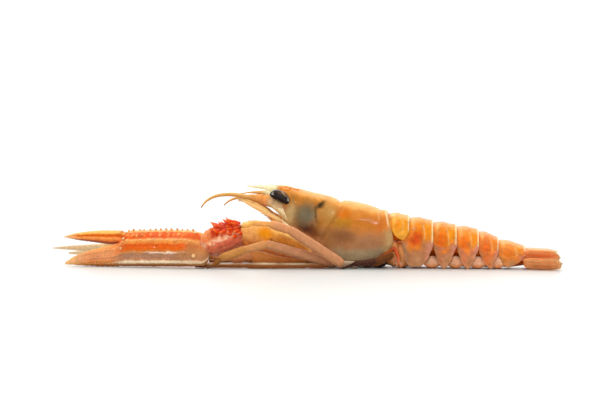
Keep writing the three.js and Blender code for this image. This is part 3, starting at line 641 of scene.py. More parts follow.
def ringSkin(index):
    # dome over side plates: (x, w sin a, shoulder + (top -
    # shoulder) cos a^0.85), then straight down each plate
    ring = tail["rings"][index]
    rings, arc, deep, under = 64, 110, 44, 36
    s = np.linspace(0, 1, rings)[:, None]
    start = ring["from"] - tail["tuckUnder"]
    end = ring["to"] + tail["lipOver"]
    length = end - start
    share = tail["tuckUnder"] / length
    local = (s - share) / (1 - share)          # 0 at the solid's own front
    swell = curveThrough([(-0.3, -1.3), (0, -tail["neck"]), (0.14, 0.05), (0.42, tail["bulge"]),
                          (0.72, 0.45), (0.9, 0.4), (1, 0)])(local)
    top = ring["front"] + (ring["rear"] - ring["front"]) * np.clip(local, 0, 1) + swell
    half = ring["half"] + swell * 0.5
    tipAt, tipZ = ring["tip"]
    reach = np.clip(local, 0, 1)
    away = np.where(reach < tipAt, 1 - reach / tipAt, (reach - tipAt) / (1 - tipAt))
    plateEnd = tipZ + (ring["shoulder"] - 0.6 - tipZ) * away ** (
        np.where(reach < tipAt, 1.9, 1.55) * ring["round"])
    low = ring["reach"] > 0

    def xAt(depth):
        # a row's place along the body; deeper rows reach further back
        return end - (1 - s) * (length + ring["reach"] * ease(depth))

    a = np.linspace(-np.pi / 2, np.pi / 2, arc)[None]
    fromTop = np.abs(a) / (np.pi / 2)
    dome = grid(xAt(0.9 * ease((fromTop - 0.72) / 0.5) if low else 1.3 * fromTop), half * np.sin(a),
                ring["shoulder"] + (top - ring["shoulder"]) * np.cos(a) ** 0.85)
    d = np.linspace(0, 1, deep + 1)[1:][None]

    def plateSide(side):
        # one side plate: straight down from the shoulder to its lower edge, curving in as 0.5 d^2
        return grid(xAt(0.45 + d * 1.3 if low else 1 + 0 * d), side * (half - 0.5 * d ** 2),
                    ring["shoulder"] + (plateEnd - ring["shoulder"]) * d)

    t = np.linspace(0, 1, under + 2)[1:-1][None]
    inner = half - tail["plate"]
    sideways = power(1 - 2 * t, 0.45)
    lift = ease(np.minimum(t, 1 - t) / 0.22)
    hang = (ring["belly"] - ring["keel"]) * ease((0.5 - np.abs(sideways)) / 0.16)
    floor = grid(xAt((1 - lift) if low else 1 + 0 * lift), inner * sideways,
                 np.maximum(plateEnd, 0.1) + 0.2 + (ring["belly"] - plateEnd - 0.2)
                 * lift - hang)
    outer = np.concatenate([plateSide(-1)[:, ::-1], dome, plateSide(1)], 1)
    points = np.concatenate([outer, floor], 1)
    # relief: upright folds on the flanks, a lip at the hind
    # edge, a rim and a middle swelling on each side plate
    down = np.concatenate([1 + d[:, ::-1], fromTop, 1 + d], 1)
    # where the pale fold between the front and the rear lobe runs
    fold = 0.56 + 0.1 * ease((down - 0.35) / 0.6)
    furrow = 0.42 * hump(local, fold, 0.035) * ease((down - 0.22) / 0.3) * ease((1.2 - down) / 0.2)
    lobes = 0.42 * (hump(local, fold - 0.24, 0.16) + 0.7 * hump(local, fold + 0.19, 0.1))
    lobes = lobes * hump(down, 0.85, 0.35)
    lip = 0.25 * hump(local, 0.975, 0.04)
    leaf = 0.5 * ease((down - 1.05) / 0.3) * ease((2 - down) / 0.3) * hump(local, tipAt + 0.05, 0.26)
    height = lobes + lip + leaf + 0.2 * hump(down, 1.95, 0.06) - furrow
    height = height + 0.05 * ripple(outer, 2.4, 31 + index)
    height = height * ease((local + 0.05) / 0.12)
    points[:, :outer.shape[1]] += outwards(points)[:, :outer.shape[1]] * height[..., None]

    wave = 0.05 * ripple(outer, 4, 41 + index)
    tone = blend(tail["back"][index], tail["flank"][index], ease((down - 0.3 + wave) / 0.35))
    hot = hump(local, 0.34, 0.3 if index == 1 else 0.25) * hump(down + wave, 0.97 if index else 0.8, 0.24)
    tone = blend(tone, tail["hot"][index], 0.92 * hot)
    rear = ease((local - fold - 0.02) / 0.06) * ease((0.95 - local) / 0.04)
    tone = blend(tone, tail["gold"], (0.75 if index < 4 else 0.35) * rear * hump(down, 0.68, 0.42))
    tone = blend(tone, tail["pale"], 0.5 * hump(local, fold, 0.045) * ease((down - 0.3) / 0.3)
                 * ease((1.22 - down) / 0.2))
    tone = blend(tone, tail["pale"], 0.45 * hump(local, 0.16, 0.1) * hump(down, 0.45, 0.3))
    if index:
        plateLine = 0.84 + 0.28 * hump(local, 0.42, 0.3) + 2.4 * wave
        tone = blend(tone, tail["plateTint"][index], ease((down - plateLine) / 0.42))
        tone = blend(tone, tail["plateMiddle"], 0.7 * ease((down - 1.3) / 0.35)
                     * hump(local, tipAt + 0.1, 0.2))
        tone = blend(tone, tail["plateRear"], 0.75 * ease((down - 0.92 - 2 * wave) / 0.36)
                     * ease((local - 0.68) / 0.2))
        tone = blend(tone, tail["plateFront"], (0.6 if index == 1 else 0.45) * ease((down - 1.08) / 0.5)
                     * ease((0.3 - local) / 0.2))
        tone = blend(tone, tail["plateTip"], 0.6 * ease((down - 1.78) / 0.2))
    tone = blend(tone, tail["rim"], 0.9 * hump(local, 0.965, 0.032) * ease((1.3 - down) / 0.25))
    tone = blend(tone, tail["seam"], 0.5 * ease((0.04 - local) / 0.05))
    tone = mottled(tone, outer, (0.08, 3.5, 51 + index), (0.05, 1.4, 61 + index))
    tints = np.concatenate([tone, np.broadcast_to(tail["inside"], floor.shape)], 1)
    return closedSkin(points, tints)


for index in range(6):
    addPiece(f"tailRing{index + 1}", ringSkin(index), "tail", node=f"tail_ring_{index + 1}")
print("tail rings built")

# tail fan
fan = {
    "plates": dict(zip(("telson", "innerUropod", "outerUropod"), rowsOf(
        "root tip half thick roll blunt ribs taper seed",
        ((100.8, 0, 9), (117, 0, 8.3), 5.2, 1.9, 0, 0.22, 3, 0.8, 71),
        ((101, -7.2, 6.4), (117.4, -9.4, 5.6), 4.6, 1.4, 48, 0.2, 3, 1.0, 73),
        ((101, -9, 3.4), (118, -13.4, 3), 4.3, 1.4, 38, 0.2, 3, 1.0, 79)))),
    "base": colour(255, 164, 108), "light": colour(255, 206, 160), "line": colour(255, 138, 74),
    "fringe": colour(250, 214, 160),
    "bed": {"from": 99.6, "to": 115, "half": 8, "low": 1.6, "high": 8.4, "tint": colour(232, 124, 62)},
    "hairs": 90, "hairLength": (0.8, 1.5), "hairRadius": 0.09, "dish": 0.14,
}


def fanPlate(plate):
    # oval plate: half width half * sin(pi t^0.8)^blunt at t along
    # it, ribs as cosines across, thin rear half, hairs round the end
    seed = plate["seed"]
    t = np.linspace(0.006, 0.994, 90)[:, None]
    a = circle(96)
    across = power(np.cos(a), 0.8)

    def outline(t):
        # half width's share at t
        return np.sin(np.pi * np.clip(t, 0, 0.996) ** 0.8) ** plate["blunt"] * (1 - (1 - plate["taper"]) * t)

    start, basis, length = limbFrame(plate["root"], plate["tip"], plate["roll"])
    rib = np.cos(across * np.pi * plate["ribs"]) * ease(t / 0.15) * ease((1 - t) / 0.2)
    cross = 0.22 * hump(t, 0.72, 0.02)
    thick = plate["thick"] * 0.5 * outline(t) * (1 - 0.45 * ease((t - 0.6) / 0.4))
    z = thick * power(np.sin(a), 0.7) + np.where(np.sin(a) > 0, (0.14 * rib - cross) * np.sin(a), 0)
    z = z - plate["half"] * fan["dish"] * across ** 2
    points = placed(grid(length * t, plate["half"] * outline(t) * across, z), basis, start)
    tone = blend(fan["base"], fan["light"], 0.5 * ease((rib - 0.2) / 0.8) + 0.4 * ease((t - 0.84) / 0.14))
    tone = blend(tone, fan["line"], 0.35 * ease((-rib - 0.5) / 0.5) + 0.3 * hump(t, 0.72, 0.03)
                 + 0.5 * ease((0.1 - t) / 0.08))
    tone = mottled(tone, points, (0.07, 4, seed), (0.05, 1.2, seed + 1))
    # hairs stand square to the rim over the last third
    rng = np.random.default_rng(seed)
    turn = np.linspace(-1, 1, fan["hairs"])
    at = 1 - 0.34 * np.abs(turn) ** 1.6
    rim = plate["half"] * outline(at) * np.sign(turn) * np.minimum(1, np.abs(turn) * 2.2)
    roots = np.stack([length * np.minimum(at, 0.985), rim, -plate["half"] * fan["dish"]
                      * (rim / plate["half"]) ** 2], -1)
    stray = rng.normal(0, 0.07, (fan["hairs"], 3))
    lean = np.stack([1 - 0.5 * np.abs(turn), 0.75 * turn, 0 * turn], -1) + stray
    sizes = tall(rng.uniform(*fan["hairLength"], fan["hairs"]), fan["hairRadius"])
    fringe = scatter(hair, placed(roots, basis, start), unit(lean) @ basis, sizes, fan["fringe"])
    return closedSkin(points, tone), fringe


def fanBedSkin():
    # flat oval the lobes lie on: half width and thickness times sqrt(1 - (2t - 1)^6)
    b = fan["bed"]
    t = np.linspace(0.004, 0.996, 60)[:, None]
    a = circle(60)
    close = closing(t, 6, 0) * (1 - 0.2 * t)
    points = grid(b["from"] + (b["to"] - b["from"]) * t, b["half"] * close * power(np.cos(a), 0.9),
                  (b["high"] + b["low"]) / 2 + (b["high"] - b["low"]) / 2 * close * power(np.sin(a), 0.9))
    return closedSkin(points, mottled(b["tint"], points, (0.1, 3, 85)))


def addFan():
    # the bed, the telson and two pairs of uropods, each with its fringe
    addPiece("fanBed", fanBedSkin(), "flesh")
    body, fringe = fanPlate(fan["plates"]["telson"])
    addPiece("telsonPlate", body, "tail", node="telson")
    addPiece("telsonFringe", fringe, "hair")
    for key, node in (("innerUropod", "inner_uropod"), ("outerUropod", "outer_uropod")):
        body, fringe = fanPlate(fan["plates"][key])
        for sign, name in ((-1, "left"), (1, "right")):
            addPiece(f"{key}_{name}", body, "tail", sign, f"{node}_{name}")
            addPiece(f"{key}Fringe_{name}", fringe, "hair", sign)


addFan()
print("tail fan built")

# limbs: where they lie
left = {
    "arm": [(5, -7, 5.2), (0.4, -13.4, 7), (-30, -21, 16.6), (-49.6, -21.4, 9.6), (-88, -15.6, 8.7)],
    "fingers": 27.6, "armRoll": 30, "girth": 1.0,
    "legs": [
        {"joints": [(9, -6.6, 4.6), (10.6, -10.6, 2.3), (12, -15, 2.6), (-17.5, -27.6, 11.6),
                    (-27.4, -28.9, 9),
                    (-38.6, -29.8, 5), (-45, -29.4, 0.3)], "girth": [1.2, 1.5, 2.1, 1.8, 1.9, 1.25]},
        {"joints": [(16, -6.6, 3.4), (20.6, -11, 1.5), (23.4, -14.6, 1.8), (16.6, -19.6, 2.5),
                    (-7, -25.2, 18.1), (-16, -26.2, 20.9), (-24, -26, 21.2), (-31, -25.2, 19.2)],
         "girth": [1, 1.3, 1.5, 2.25, 1.9, 1.1, 0.8]},
        {"joints": [(22, -6.6, 3.4), (26.6, -10.6, 1.4), (31.6, -13.6, 2.4), (40, -16, 6.6),
                    (32.4, -17.6, 3.6),
                    (22.4, -19.4, 2.4), (15.4, -23.4, 0.3)], "girth": [1, 1.2, 1.7, 1.4, 1.2, 0.8]},
        {"joints": [(28, -6.6, 3.6), (31.4, -9.2, 2.4), (41, -10.2, 9.6), (42.8, -12.8, 5),
                    (43.4, -13.4, 0.3)],
         "girth": [0.8, 1, 0.8, 0.6]},
    ],
    "feeler": [(-14, -4.8, 27.9, 1.2), (-18.6, -4.6, 30, 1.75), (-25, -4.2, 31.8, 1.6),
               (-30, -4.2, 33.1, 1.15),
               (-37, -4.6, 34.2, 1), (-44, -5.2, 33.6, 0.8), (-49, -5.8, 31.2, 0.58),
               (-51.8, -6.2, 27.8, 0.3)],
}
right = {
    "arm": [(5, -7, 5.2), (0.4, -13.2, 4.8), (-29.6, -16.4, 5.2), (-50.6, -19, 5.9), (-89.6, -23.6, 5.5)],
    "fingers": 39, "armRoll": 76, "girth": 0.9,
    "legs": [
        {"joints": [(9, -6.6, 4.6), (10.6, -10.6, 2.3), (11, -17, 3.2), (-17, -29, 10.4), (-28, -32.4, 7.6),
                    (-39, -34, 4.4), (-45.6, -34.6, 0.3)], "girth": [1.2, 1.5, 2.1, 1.75, 1.9, 1.25]},
        {"joints": [(16, -6.6, 3.4), (17, -11, 1.5), (17, -20, 2.3), (-5, -31.6, 9.8), (-15, -35.4, 7.2),
                    (-24.6, -37.4, 3.4), (-31, -38.4, 0.3)], "girth": [1, 1.4, 2.1, 1.7, 1.5, 0.9]},
        {"joints": [(22, -6.6, 3.4), (22.4, -11, 1.5), (23.4, -17.6, 2.6), (14.4, -32.4, 8.8),
                    (8.6, -37, 6.4),
                    (3, -39.6, 2.9), (-0.6, -41.4, 0.3)], "girth": [1, 1.3, 1.9, 1.5, 1.3, 0.8]},
        {"joints": [(28, -6.6, 3.6), (29.6, -11, 1.7), (33, -18, 3), (42.4, -28.4, 7.6), (49.4, -31.6, 5),
                    (56, -34.2, 2.4), (60.4, -35.8, 0.3)], "girth": [1, 1.3, 1.7, 1.4, 1.2, 0.8]},
    ],
    "feeler": [(-14, -4.8, 27.9, 1.2), (-18.6, -4.6, 30, 1.75), (-25, -4.4, 31.6, 1.5),
               (-30, -4.8, 32.6, 0.95),
               (-36, -6.2, 32.4, 0.7), (-40, -7.4, 31, 0.5), (-42.8, -8.4, 28.8, 0.3)],
}
sides = ((-1, "left", left), (1, "right", right))

# claws
claw = {
    "palm": 38.4, "width": 17.4, "thickness": 9.6, "ridge": 0.45,
    # ridges round the hand: 0.25 is the top, 0.5 the outer face, 0.75 below
    "rows": [0.03, 0.16, 0.29, 0.475, 0.64, 0.69, 0.86],
    "lumps": rowsOf("at width step height share", (0.41, 0.019, 4.3, 0.5, 0.85),
                    (0.37, 0.014, 3.1, 0.4, 0.6)),
    "lumpTint": colour(255, 176, 98),
    # line: a painted highlight, the pale glint along a ridge of the outer face
    "line": {"at": 0.577, "from": 7, "to": 27, "tint": colour(255, 226, 206)},
    # the palm bands from 0.714 to 0.95 are painted shade: the underside darkened brown near the table
    "palmBands": bands(
        (0, 232, 146, 84), (0.14, 236, 150, 82), (0.24, 250, 168, 96), (0.345, 255, 176, 100),
        (0.37, 238, 98, 4), (0.44, 236, 92, 6), (0.465, 250, 164, 90), (0.487, 248, 158, 84),
        (0.505, 228, 98, 14), (0.54, 230, 104, 22), (0.556, 214, 124, 60), (0.572, 206, 134, 84),
        (0.59, 184, 134, 108), (0.63, 182, 128, 102), (0.644, 214, 146, 112), (0.654, 220, 154, 118),
        (0.664, 255, 228, 196), (0.7, 255, 226, 194), (0.714, 196, 132, 88), (0.85, 150, 96, 62),
        (0.95, 206, 132, 84), (1, 232, 146, 84)),
    "fixedBands": bands(
        (0, 232, 146, 92), (0.2, 250, 172, 106), (0.36, 255, 178, 110), (0.42, 248, 156, 94),
        (0.5, 232, 152, 106), (0.6, 232, 150, 106), (0.66, 226, 142, 80), (0.8, 206, 124, 62),
        (0.9, 214, 130, 72), (1, 232, 146, 92)),
    "fingerBands": bands(
        (0, 232, 146, 92), (0.18, 216, 160, 110), (0.27, 236, 184, 124), (0.33, 252, 186, 104),
        (0.475, 255, 184, 96), (0.51, 222, 98, 12), (0.545, 224, 102, 18), (0.575, 252, 160, 90),
        (0.65, 248, 150, 86), (0.7, 176, 96, 72), (0.8, 152, 82, 64), (0.9, 212, 120, 68),
        (1, 232, 146, 92)),
    "heel": colour(200, 134, 88), "tip": colour(250, 200, 146), "farTip": colour(226, 192, 156),
    "hinge": colour(206, 84, 18),
    "beads": rowsOf(
        "v step size tall upTo foot top",
        (0.29, 2.7, 0.5, 1.5, "palm", colour(250, 160, 80), colour(150, 110, 56)),
        (0.475, 2.2, 0.42, 0.9, "finger", colour(250, 170, 96), colour(255, 216, 164)),
        (0.505, 1.6, 0.26, 0.8, "palm", colour(232, 110, 30), colour(246, 140, 60)),
        (0.615, 1.3, 0.22, 0.7, "palm", colour(200, 148, 122), colour(224, 180, 154)),
        (0.69, 1.7, 0.36, 0.7, "finger", colour(224, 164, 128), colour(255, 230, 200)),
        (0.03, 2.4, 0.45, 0.9, "finger", colour(238, 140, 70), colour(255, 200, 140)),
        (0.16, 2.6, 0.45, 1.1, "palm", colour(240, 140, 60), colour(255, 190, 120)),
        (0.86, 2.6, 0.4, 0.8, "finger", colour(190, 124, 84), colour(236, 186, 140)),
    ),
    # x, v and radius
    "knobs": [(1.2, 0.6, 1.25), (2.2, 0.36, 0.9), (37.4, 0.43, 0.85), (36.6, 0.33, 0.8), (37.8, 0.52, 0.7)],
}


def roundClaw(v, low, high, wide, lift):
    # superellipse: cos a^0.85 thick, sin a^0.9 high, round the middle of low and high
    a = 2 * np.pi * v
    c, s = power(np.cos(a), 0.85), power(np.sin(a), 0.9)
    return c * (wide + lift), (high + low) / 2 + s * ((high - low) / 2 + lift * 0.5)


def shaped(size, stations):
    # curve through stations of x and share of size
    return curveThrough([(x, size * share) for x, share in stations])


def handShape(side):
    # top, bottom and half thickness along the palm and fixed finger, as shares of the hand's half sizes
    half, deep, palm = claw["width"] / 2 * side["girth"], claw["thickness"] / 2 * side["girth"], claw["palm"]
    end = palm + side["fingers"]

    return (shaped(half, [(-5, 0.4), (-4, 0.62), (-2, 0.78), (1, 0.88), (4, 0.94), (10, 0.98), (20, 1),
                          (palm - 3, 0.98),
                          (palm - 0.6, 0.8), (palm + 1.8, 0.24), (palm + 7, 0.05), (palm + 17, -0.22),
                          (palm + 23.5, -0.5), (end, -0.84)]),
            shaped(half, [(-5, -0.72), (-4, -0.96), (-2, -1.08), (3, -1.1), (12, -1.09), (palm, -1.06),
                          (palm + 16, -1.03), (end, -0.98)]),
            shaped(deep, [(-5, 0.3), (-4, 0.56), (-2, 0.74), (1.5, 0.86), (6, 0.98), (22, 1), (palm, 0.86),
                          (palm + 14, 0.62), (end, 0.1)]))


def handPoint(side, x, v, lift):
    # point on the hand at x along it and v round it, raised by lift
    upper, lower, thick = handShape(side)
    y, z = roundClaw(v, lower(x), upper(x), thick(x), lift)
    return grid(x, y, z)


def lumpsAt(x, v):
    # rows of soft uneven lumps, about one each step along the hand; returns their height and their paint
    height = paint = 0
    for row in claw["lumps"]:
        along = hump((x / row["step"] + 0.16 * np.sin(1.3 * x) + 0.1 * np.sin(2.9 * x)) % 1, 0.5,
                     0.3) * (0.75 + 0.25 * np.sin(2.1 * x))
        lump = hump(v, row["at"] + 0.01 * np.sin(1.7 * x), row["width"]) * along * ease((x - 5)
                / 3) * ease((claw["palm"] - 1 - x) / 2)
        height, paint = height + row["height"] * lump, np.maximum(paint, row["share"] * ease(lump / 0.7))
    return height, paint


def handSkin(side, far, seed):
    # palm and fixed finger in one: lofted sections with ridges,
    # lumps and blunt teeth, painted in bands round them
    palm = claw["palm"]
    end = palm + side["fingers"]
    x = np.concatenate([np.linspace(*row)
                        for row in ((-5, 1.2, 30), (1.6, palm - 3, 120), (palm - 2.8, palm + 2, 22),
                                    (palm + 2.3, end, 70))])[:, None]
    v = (np.arange(220) / 220)[None]
    lift = sum(claw["ridge"] * hump(v, row, 0.013) for row in claw["rows"]) + 0.35 * hump(v,
            claw["line"]["at"], 0.01)
    lift = (lift - 0.1) * ease((x - 1) / 4) * ease((end - x) / 16)
    points = handPoint(side, x, v, lift)
    lumps, lumpPaint = lumpsAt(x, v)
    grain = 0.045 * ripple(points, 0.9, seed) + 0.07 * ripple(points, 3.2, seed + 1) + lumps
    teeth = 0.32 * np.maximum(0, np.sin(2 * np.pi * x / 2.3)) * hump(v, 0.25, 0.03) * ease((x - palm - 2.5)
            / 2) * ease((end - x) / 8)
    points = points + outwards(points) * (grain * ease((end - x) / 6) + teeth)[..., None]
    wave = v + 0.004 * ripple(points, 3, seed + 2) + 0.002 * ripple(points, 1, seed + 3) + 0 * x
    tone = bandTone(claw["palmBands"], wave)
    tone = blend(tone, claw["lumpTint"], lumpPaint)
    # painted highlight along that ridge
    line = claw["line"]
    tone = blend(tone, line["tint"], 0.95 * hump(wave, line["at"], 0.006) * ease((x - line["from"]) / 3)
                 * ease((line["to"] - x) / 6))
    tone = blend(tone, claw["heel"], 0.85 * ease((12 - x + 12 * ripple(points, 7, seed + 7) * 0.3) / 7)
                 * hump(wave, 0.56, 0.1))
    tone = blend(tone, claw["hinge"], 0.6 * hump(x, palm - 1.2, 1.1) * hump(v, 0.42, 0.16))
    tone = blend(tone, bandTone(claw["fixedBands"], wave),
                 ease((x - palm + 4 - 16 * (0.5 - v) * (v < 0.5)) / 9))
    tip, share, after = (claw["farTip"], 0.9, 4) if far else (claw["tip"], 0.75, 14)
    tone = blend(tone, tip, share * ease((x - palm - after) / (end - palm - 12)))
    return closedSkin(points, mottled(tone, points, (0.05, 2.2, seed + 4), (0.05, 8, seed + 5),
                                      (0.04, 0.8, seed + 6)))


def fingerShape(side):
    # start, end, top, bottom and half thickness along the moving finger, which opens from the palm's front
    girth, palm = side["girth"], claw["palm"]
    half, start, end = claw["width"] / 2 * girth, palm - 2.6, palm + side["fingers"] + 3.4

    return (start, end,
            shaped(half, [(start, 0.55), (start + 1.6, 0.84), (palm + 1.6, 0.99), (palm + 10, 1.03),
                          (end - 6, 0.92), (end, 0.74)]),
            shaped(half, [(start, 0.4), (start + 1.6, 0.26), (palm + 6, 0.27), (palm + 15, 0.4),
                          (end - 6, 0.56), (end, 0.7)]),
            shaped(girth, [(start, 1.6), (start + 1.6, 2.7), (start + 6, 3.1), (start + 17, 2.5),
                           (end, 0.3)]))


def fingerSkin(side, far, seed):
    # moving finger: lofted sections, three fine ridges, teeth below
    start, end, upper, lower, thick = fingerShape(side)
    x = (start + (end - start) * np.linspace(0, 1, 130) ** 1.05)[:, None]
    v = (np.arange(120) / 120)[None]
    ridges = sum(height * hump(v, at, 0.02) for at,
                 height in ((0.34, 0.2), (0.48, 0.22), (0.62, 0.2), (0.15, 0.2)))
    y, z = roundClaw(v, lower(x), upper(x), thick(x), ridges * ease((end - x) / 10))
    points = grid(x, y, z)
    teeth = 0.26 * np.maximum(0, np.sin(2 * np.pi * x / 1.9)) * hump(v, 0.75, 0.03) * ease((x - start - 5)
            / 2) * ease((end - x) / 7)
    knuckle = 0.3 * np.maximum(0, np.sin(2 * np.pi * x / 1.7)) * hump(x, start + 3, 2) * hump(v, 0.38, 0.14)
    points = points + outwards(points) * (0.04 * ripple(points, 1.1, seed) + teeth + knuckle)[..., None]
    share = (x - start) / (end - start) + 0 * v
    wave = v + 0.006 * ripple(points, 4, seed + 1)
    tone = bandTone(claw["fingerBands"], wave)
    tone = blend(tone, claw["hinge"], 0.6 * hump(x, start + 3.4, 1.6) * hump(v, 0.42, 0.16))
    tone = blend(tone, claw["farTip"] if far else claw["tip"], 0.85
                 * ease((share - (0.2 if far else 0.72)) / 0.3))
    return closedSkin(points, mottled(tone, points, (0.06, 2.4, seed + 3), (0.04, 0.8, seed + 4)))


def beadsOn(side, basis, start, seed):
    # rows of beads along the ridges, and a few knobs at the joints
    rng = np.random.default_rng(seed)
    end = claw["palm"] + side["fingers"]
    skins = []
    for row in claw["beads"]:
        x = np.arange(4, claw["palm"] - 1.5 if row["upTo"] == "palm" else end - 9, row["step"])
        x = x + rng.uniform(-0.3, 0.3, len(x))
        v = row["v"] + rng.normal(0, 0.003, len(x))
        spot = handPoint(side, x, v, claw["ridge"] * 0.8 + 0 * x)
        aim = unit(handPoint(side, x, v, claw["ridge"] + 1 + 0 * x) - spot) + [0.25, 0, 0]
        size = row["size"] * rng.uniform(0.75, 1.2, len(x)) * (1 - 0.5 * ease((x - claw["palm"]) / 18))
        skins.append(scatter(bead, placed(spot, basis, start), unit(aim) @ basis,
                             tall(size * row["tall"], size),
                             row["foot"], row["top"]))
    x, v, size = np.array(claw["knobs"]).T
    spot = handPoint(side, x, v, -0.2 + 0 * x)
    aim = unit(handPoint(side, x, v, 1 + 0 * x) - spot)
    skins.append(scatter(bead, placed(spot, basis, start), aim @ basis, tall(size * 0.8, size),
                         claw["heel"], claw["tip"]))
    return joinSkins(skins)


# swelling pieces of the arm: [share of length, half height,
# half thickness]; bands run round the piece as on the hand
armPieces = {
    "hip": {"girths": [(0, 1.7, 1.7), (0.4, 2.1, 2), (0.85, 2.3, 2.2), (1, 2, 1.9)],
            "bands": bands((0, 186, 110, 70), (0.5, 206, 140, 100), (1, 186, 110, 70))},
    "upperArm": {"girths": [(0, 2.4, 2), (0.08, 3.7, 2.6), (0.25, 4.9, 3.2), (0.5, 5.6, 3.6),
                            (0.86, 6, 4.2), (1, 4.9, 3.6)], "crown": 2.2,
                 "bands": bands((0, 226, 140, 80), (0.2, 255, 186, 116), (0.36, 255, 196, 124),
                                (0.46, 255, 184, 112),
                           (0.52, 246, 168, 100), (0.6, 214, 132, 74), (0.7, 206, 110, 56),
                           (0.85, 190, 96, 50), (1, 226, 140, 80)),
                 "patch": colour(255, 158, 12), "shield": colour(206, 120, 32),
                 "shieldLine": colour(146, 76, 18), "shieldRim": colour(255, 186, 90),
                 # far and farHighlight: painted light on the far arm, a lighter tint and a highlight along
                 # its lower edge
                 "far": colour(255, 172, 104), "farHighlight": colour(255, 214, 176), "sag": 1.35},
    "wrist": {"girths": [(0, 4.6, 3.6), (0.14, 6.2, 4.4), (0.45, 7.1, 5.2), (0.7, 6.4, 4.8), (0.86, 5.1, 4),
                         (1, 3.8, 3.4)],
              "bands": bands((0, 226, 104, 50), (0.15, 222, 74, 12), (0.44, 200, 60, 8),
                             (0.49, 206, 70, 20), (0.515, 240, 150, 112),
                        (0.535, 255, 196, 166), (0.56, 226, 120, 92), (0.62, 206, 100, 74),
                        (0.7, 206, 120, 92), (0.8, 206, 126, 96), (1, 226, 110, 60)),
              "block": colour(212, 160, 138), "front": colour(250, 160, 100), "far": colour(255, 182, 132)},
    "crownAt": (0.68, 0.3),          # where the upper arm's crown is highest, and how far it spreads
    # rows of cone spines: [turn in degrees, 90 on top and 180 outwards; first share; last share]
    "wristSpines": {"rows": [(40, 0.1, 0.56), (66, 0.03, 0.6), (92, 0.02, 0.6), (112, 0, 0.6),
                             (132, 0.02, 0.58), (150, 0, 0.6), (168, 0.02, 0.5),
                             (184, 0, 0.36), (200, 0, 0.2)], "step": 0.15, "length": 3.7, "radius": 0.36,
                    "stray": 0.32},
    "armSpines": {"rows": [(70, 0.5, 0.97), (96, 0.4, 1.0), (124, 0.7, 0.97)], "step": 0.1, "length": 1.1,
                  "radius": 0.3, "stray": 0.1},
    "spineTint": colour(236, 78, 10), "spineTip": colour(255, 138, 66),
    "armSpineTint": colour(244, 160, 84), "armSpineTip": colour(255, 210, 140),
}


def armSkin(name, a, b, roll, girth, seed, far):
    # ring at t: half height h(t) sin^0.88, half thickness w(t)
    # cos^0.88, with a crown along the top of the upper arm
    look = armPieces[name]
    start, basis, length = limbFrame(a, b, roll)
    scale = 1 if name == "hip" else girth
    high = curveThrough([(t, h * scale) for t, h, w in look["girths"]])
    wide = curveThrough([(t, w * scale) for t, h, w in look["girths"]])
    over = 0.02 if name == "hip" else 0.06          # both ends run a little into the neighbours
    t = np.linspace(-over, 1 + over, 130)[:, None]
    close = np.sqrt(np.clip(1 - (np.abs(2 * t - 1) / (1.005 + 2 * over)) ** 18, 0.02, 1))
    v = (np.arange(150) / 150)[None]
    turn = 2 * np.pi * v
    ridge = 0
    if name != "hip":
        ridge = sum(0.3 * hump(v, r, 0.018) for r in (0.18, 0.33, 0.5, 0.66)) * ease(t
                / 0.15) * ease((1 - t) / 0.1)
    crownHeight = look.get("crown", 0) * scale
    crown = crownHeight * hump(t, *armPieces["crownAt"]) * np.maximum(0, np.sin(turn)) ** 1.5
    # the far arm rests on the table
    low = np.where(np.sin(turn) < 0, look.get("sag", 1.0) if far else 1.0, 1.0)
    points = grid(length * t, (wide(t) * close + ridge) * power(np.cos(turn), 0.88),
                  (high(t) * close + ridge) * power(np.sin(turn), 0.88) * low + crown)
    rough = 0.05 * ripple(points, 1.3, seed) + 0.08 * ripple(points, 4, seed + 1)
    if name == "wrist":
        rough = rough + 0.25 * ripple(points, 3, seed + 5)
        rough = rough - 0.7 * hump(t + 0 * v, 0.8, 0.03) * hump(v, 0.56, 0.16)
    points = points + outwards(points) * rough[..., None]
    tone = bandTone(look["bands"], v + (0.02 if name == "wrist" else 0.01) * ripple(points, 3, seed + 2) + 0
                    * t)
    if name == "upperArm":
        tone = blend(tone, look["patch"], 0.97
                     * np.exp(-(((t - 0.68) / 0.13) ** 2 + ((v - 0.46) / 0.075) ** 2) ** 2))
        inside = ((t - 0.27) / 0.3) ** 2 + ((v - 0.485) / 0.11) ** 2
        tone = blend(tone, look["shield"], 0.85 * np.exp(-inside ** 3))
        lines = hump((v * 44 + 5 * t + 0.3 * np.sin(9 * t)) % 1, 0.5, 0.2) * np.exp(-inside ** 3)
        tone = blend(tone, look["shieldLine"], 0.7 * hump(inside, 1.15, 0.16) * (v > 0.49) + 0.5 * lines)
        tone = blend(tone, look["shieldRim"], 0.8 * hump(inside, 1.2, 0.14) * (v < 0.49) * (t < 0.55))
    # painted light: the far tints are lighter than the near arm's to make up for the shade it lies in, and
    # farHighlight is a painted highlight along its lower edge
    if far:          # it shows its inner side, low in the warm shade
        tone = blend(tone, look.get("far", tone), 0.9 * ease((np.cos(turn) + 0.4) / 0.5))
        tone = blend(tone, look.get("farHighlight", tone), 0.8 * hump(v, 0.8, 0.03))
    if name == "wrist":
        tone = blend(tone, look["front"], 0.9 * ease((t - 0.6) / 0.1) * hump(v, 0.32, 0.2))
        tone = blend(tone, look["block"], 0.85 * ease((t - 0.8) / 0.1) * hump(v, 0.6, 0.09))
    tone = mottled(tone, points, (0.07, 2.6, seed + 3), (0.04, 0.9, seed + 4))
    return closedSkin(placed(points, basis, start), tone), (start, basis, length, high, wide, crownHeight)


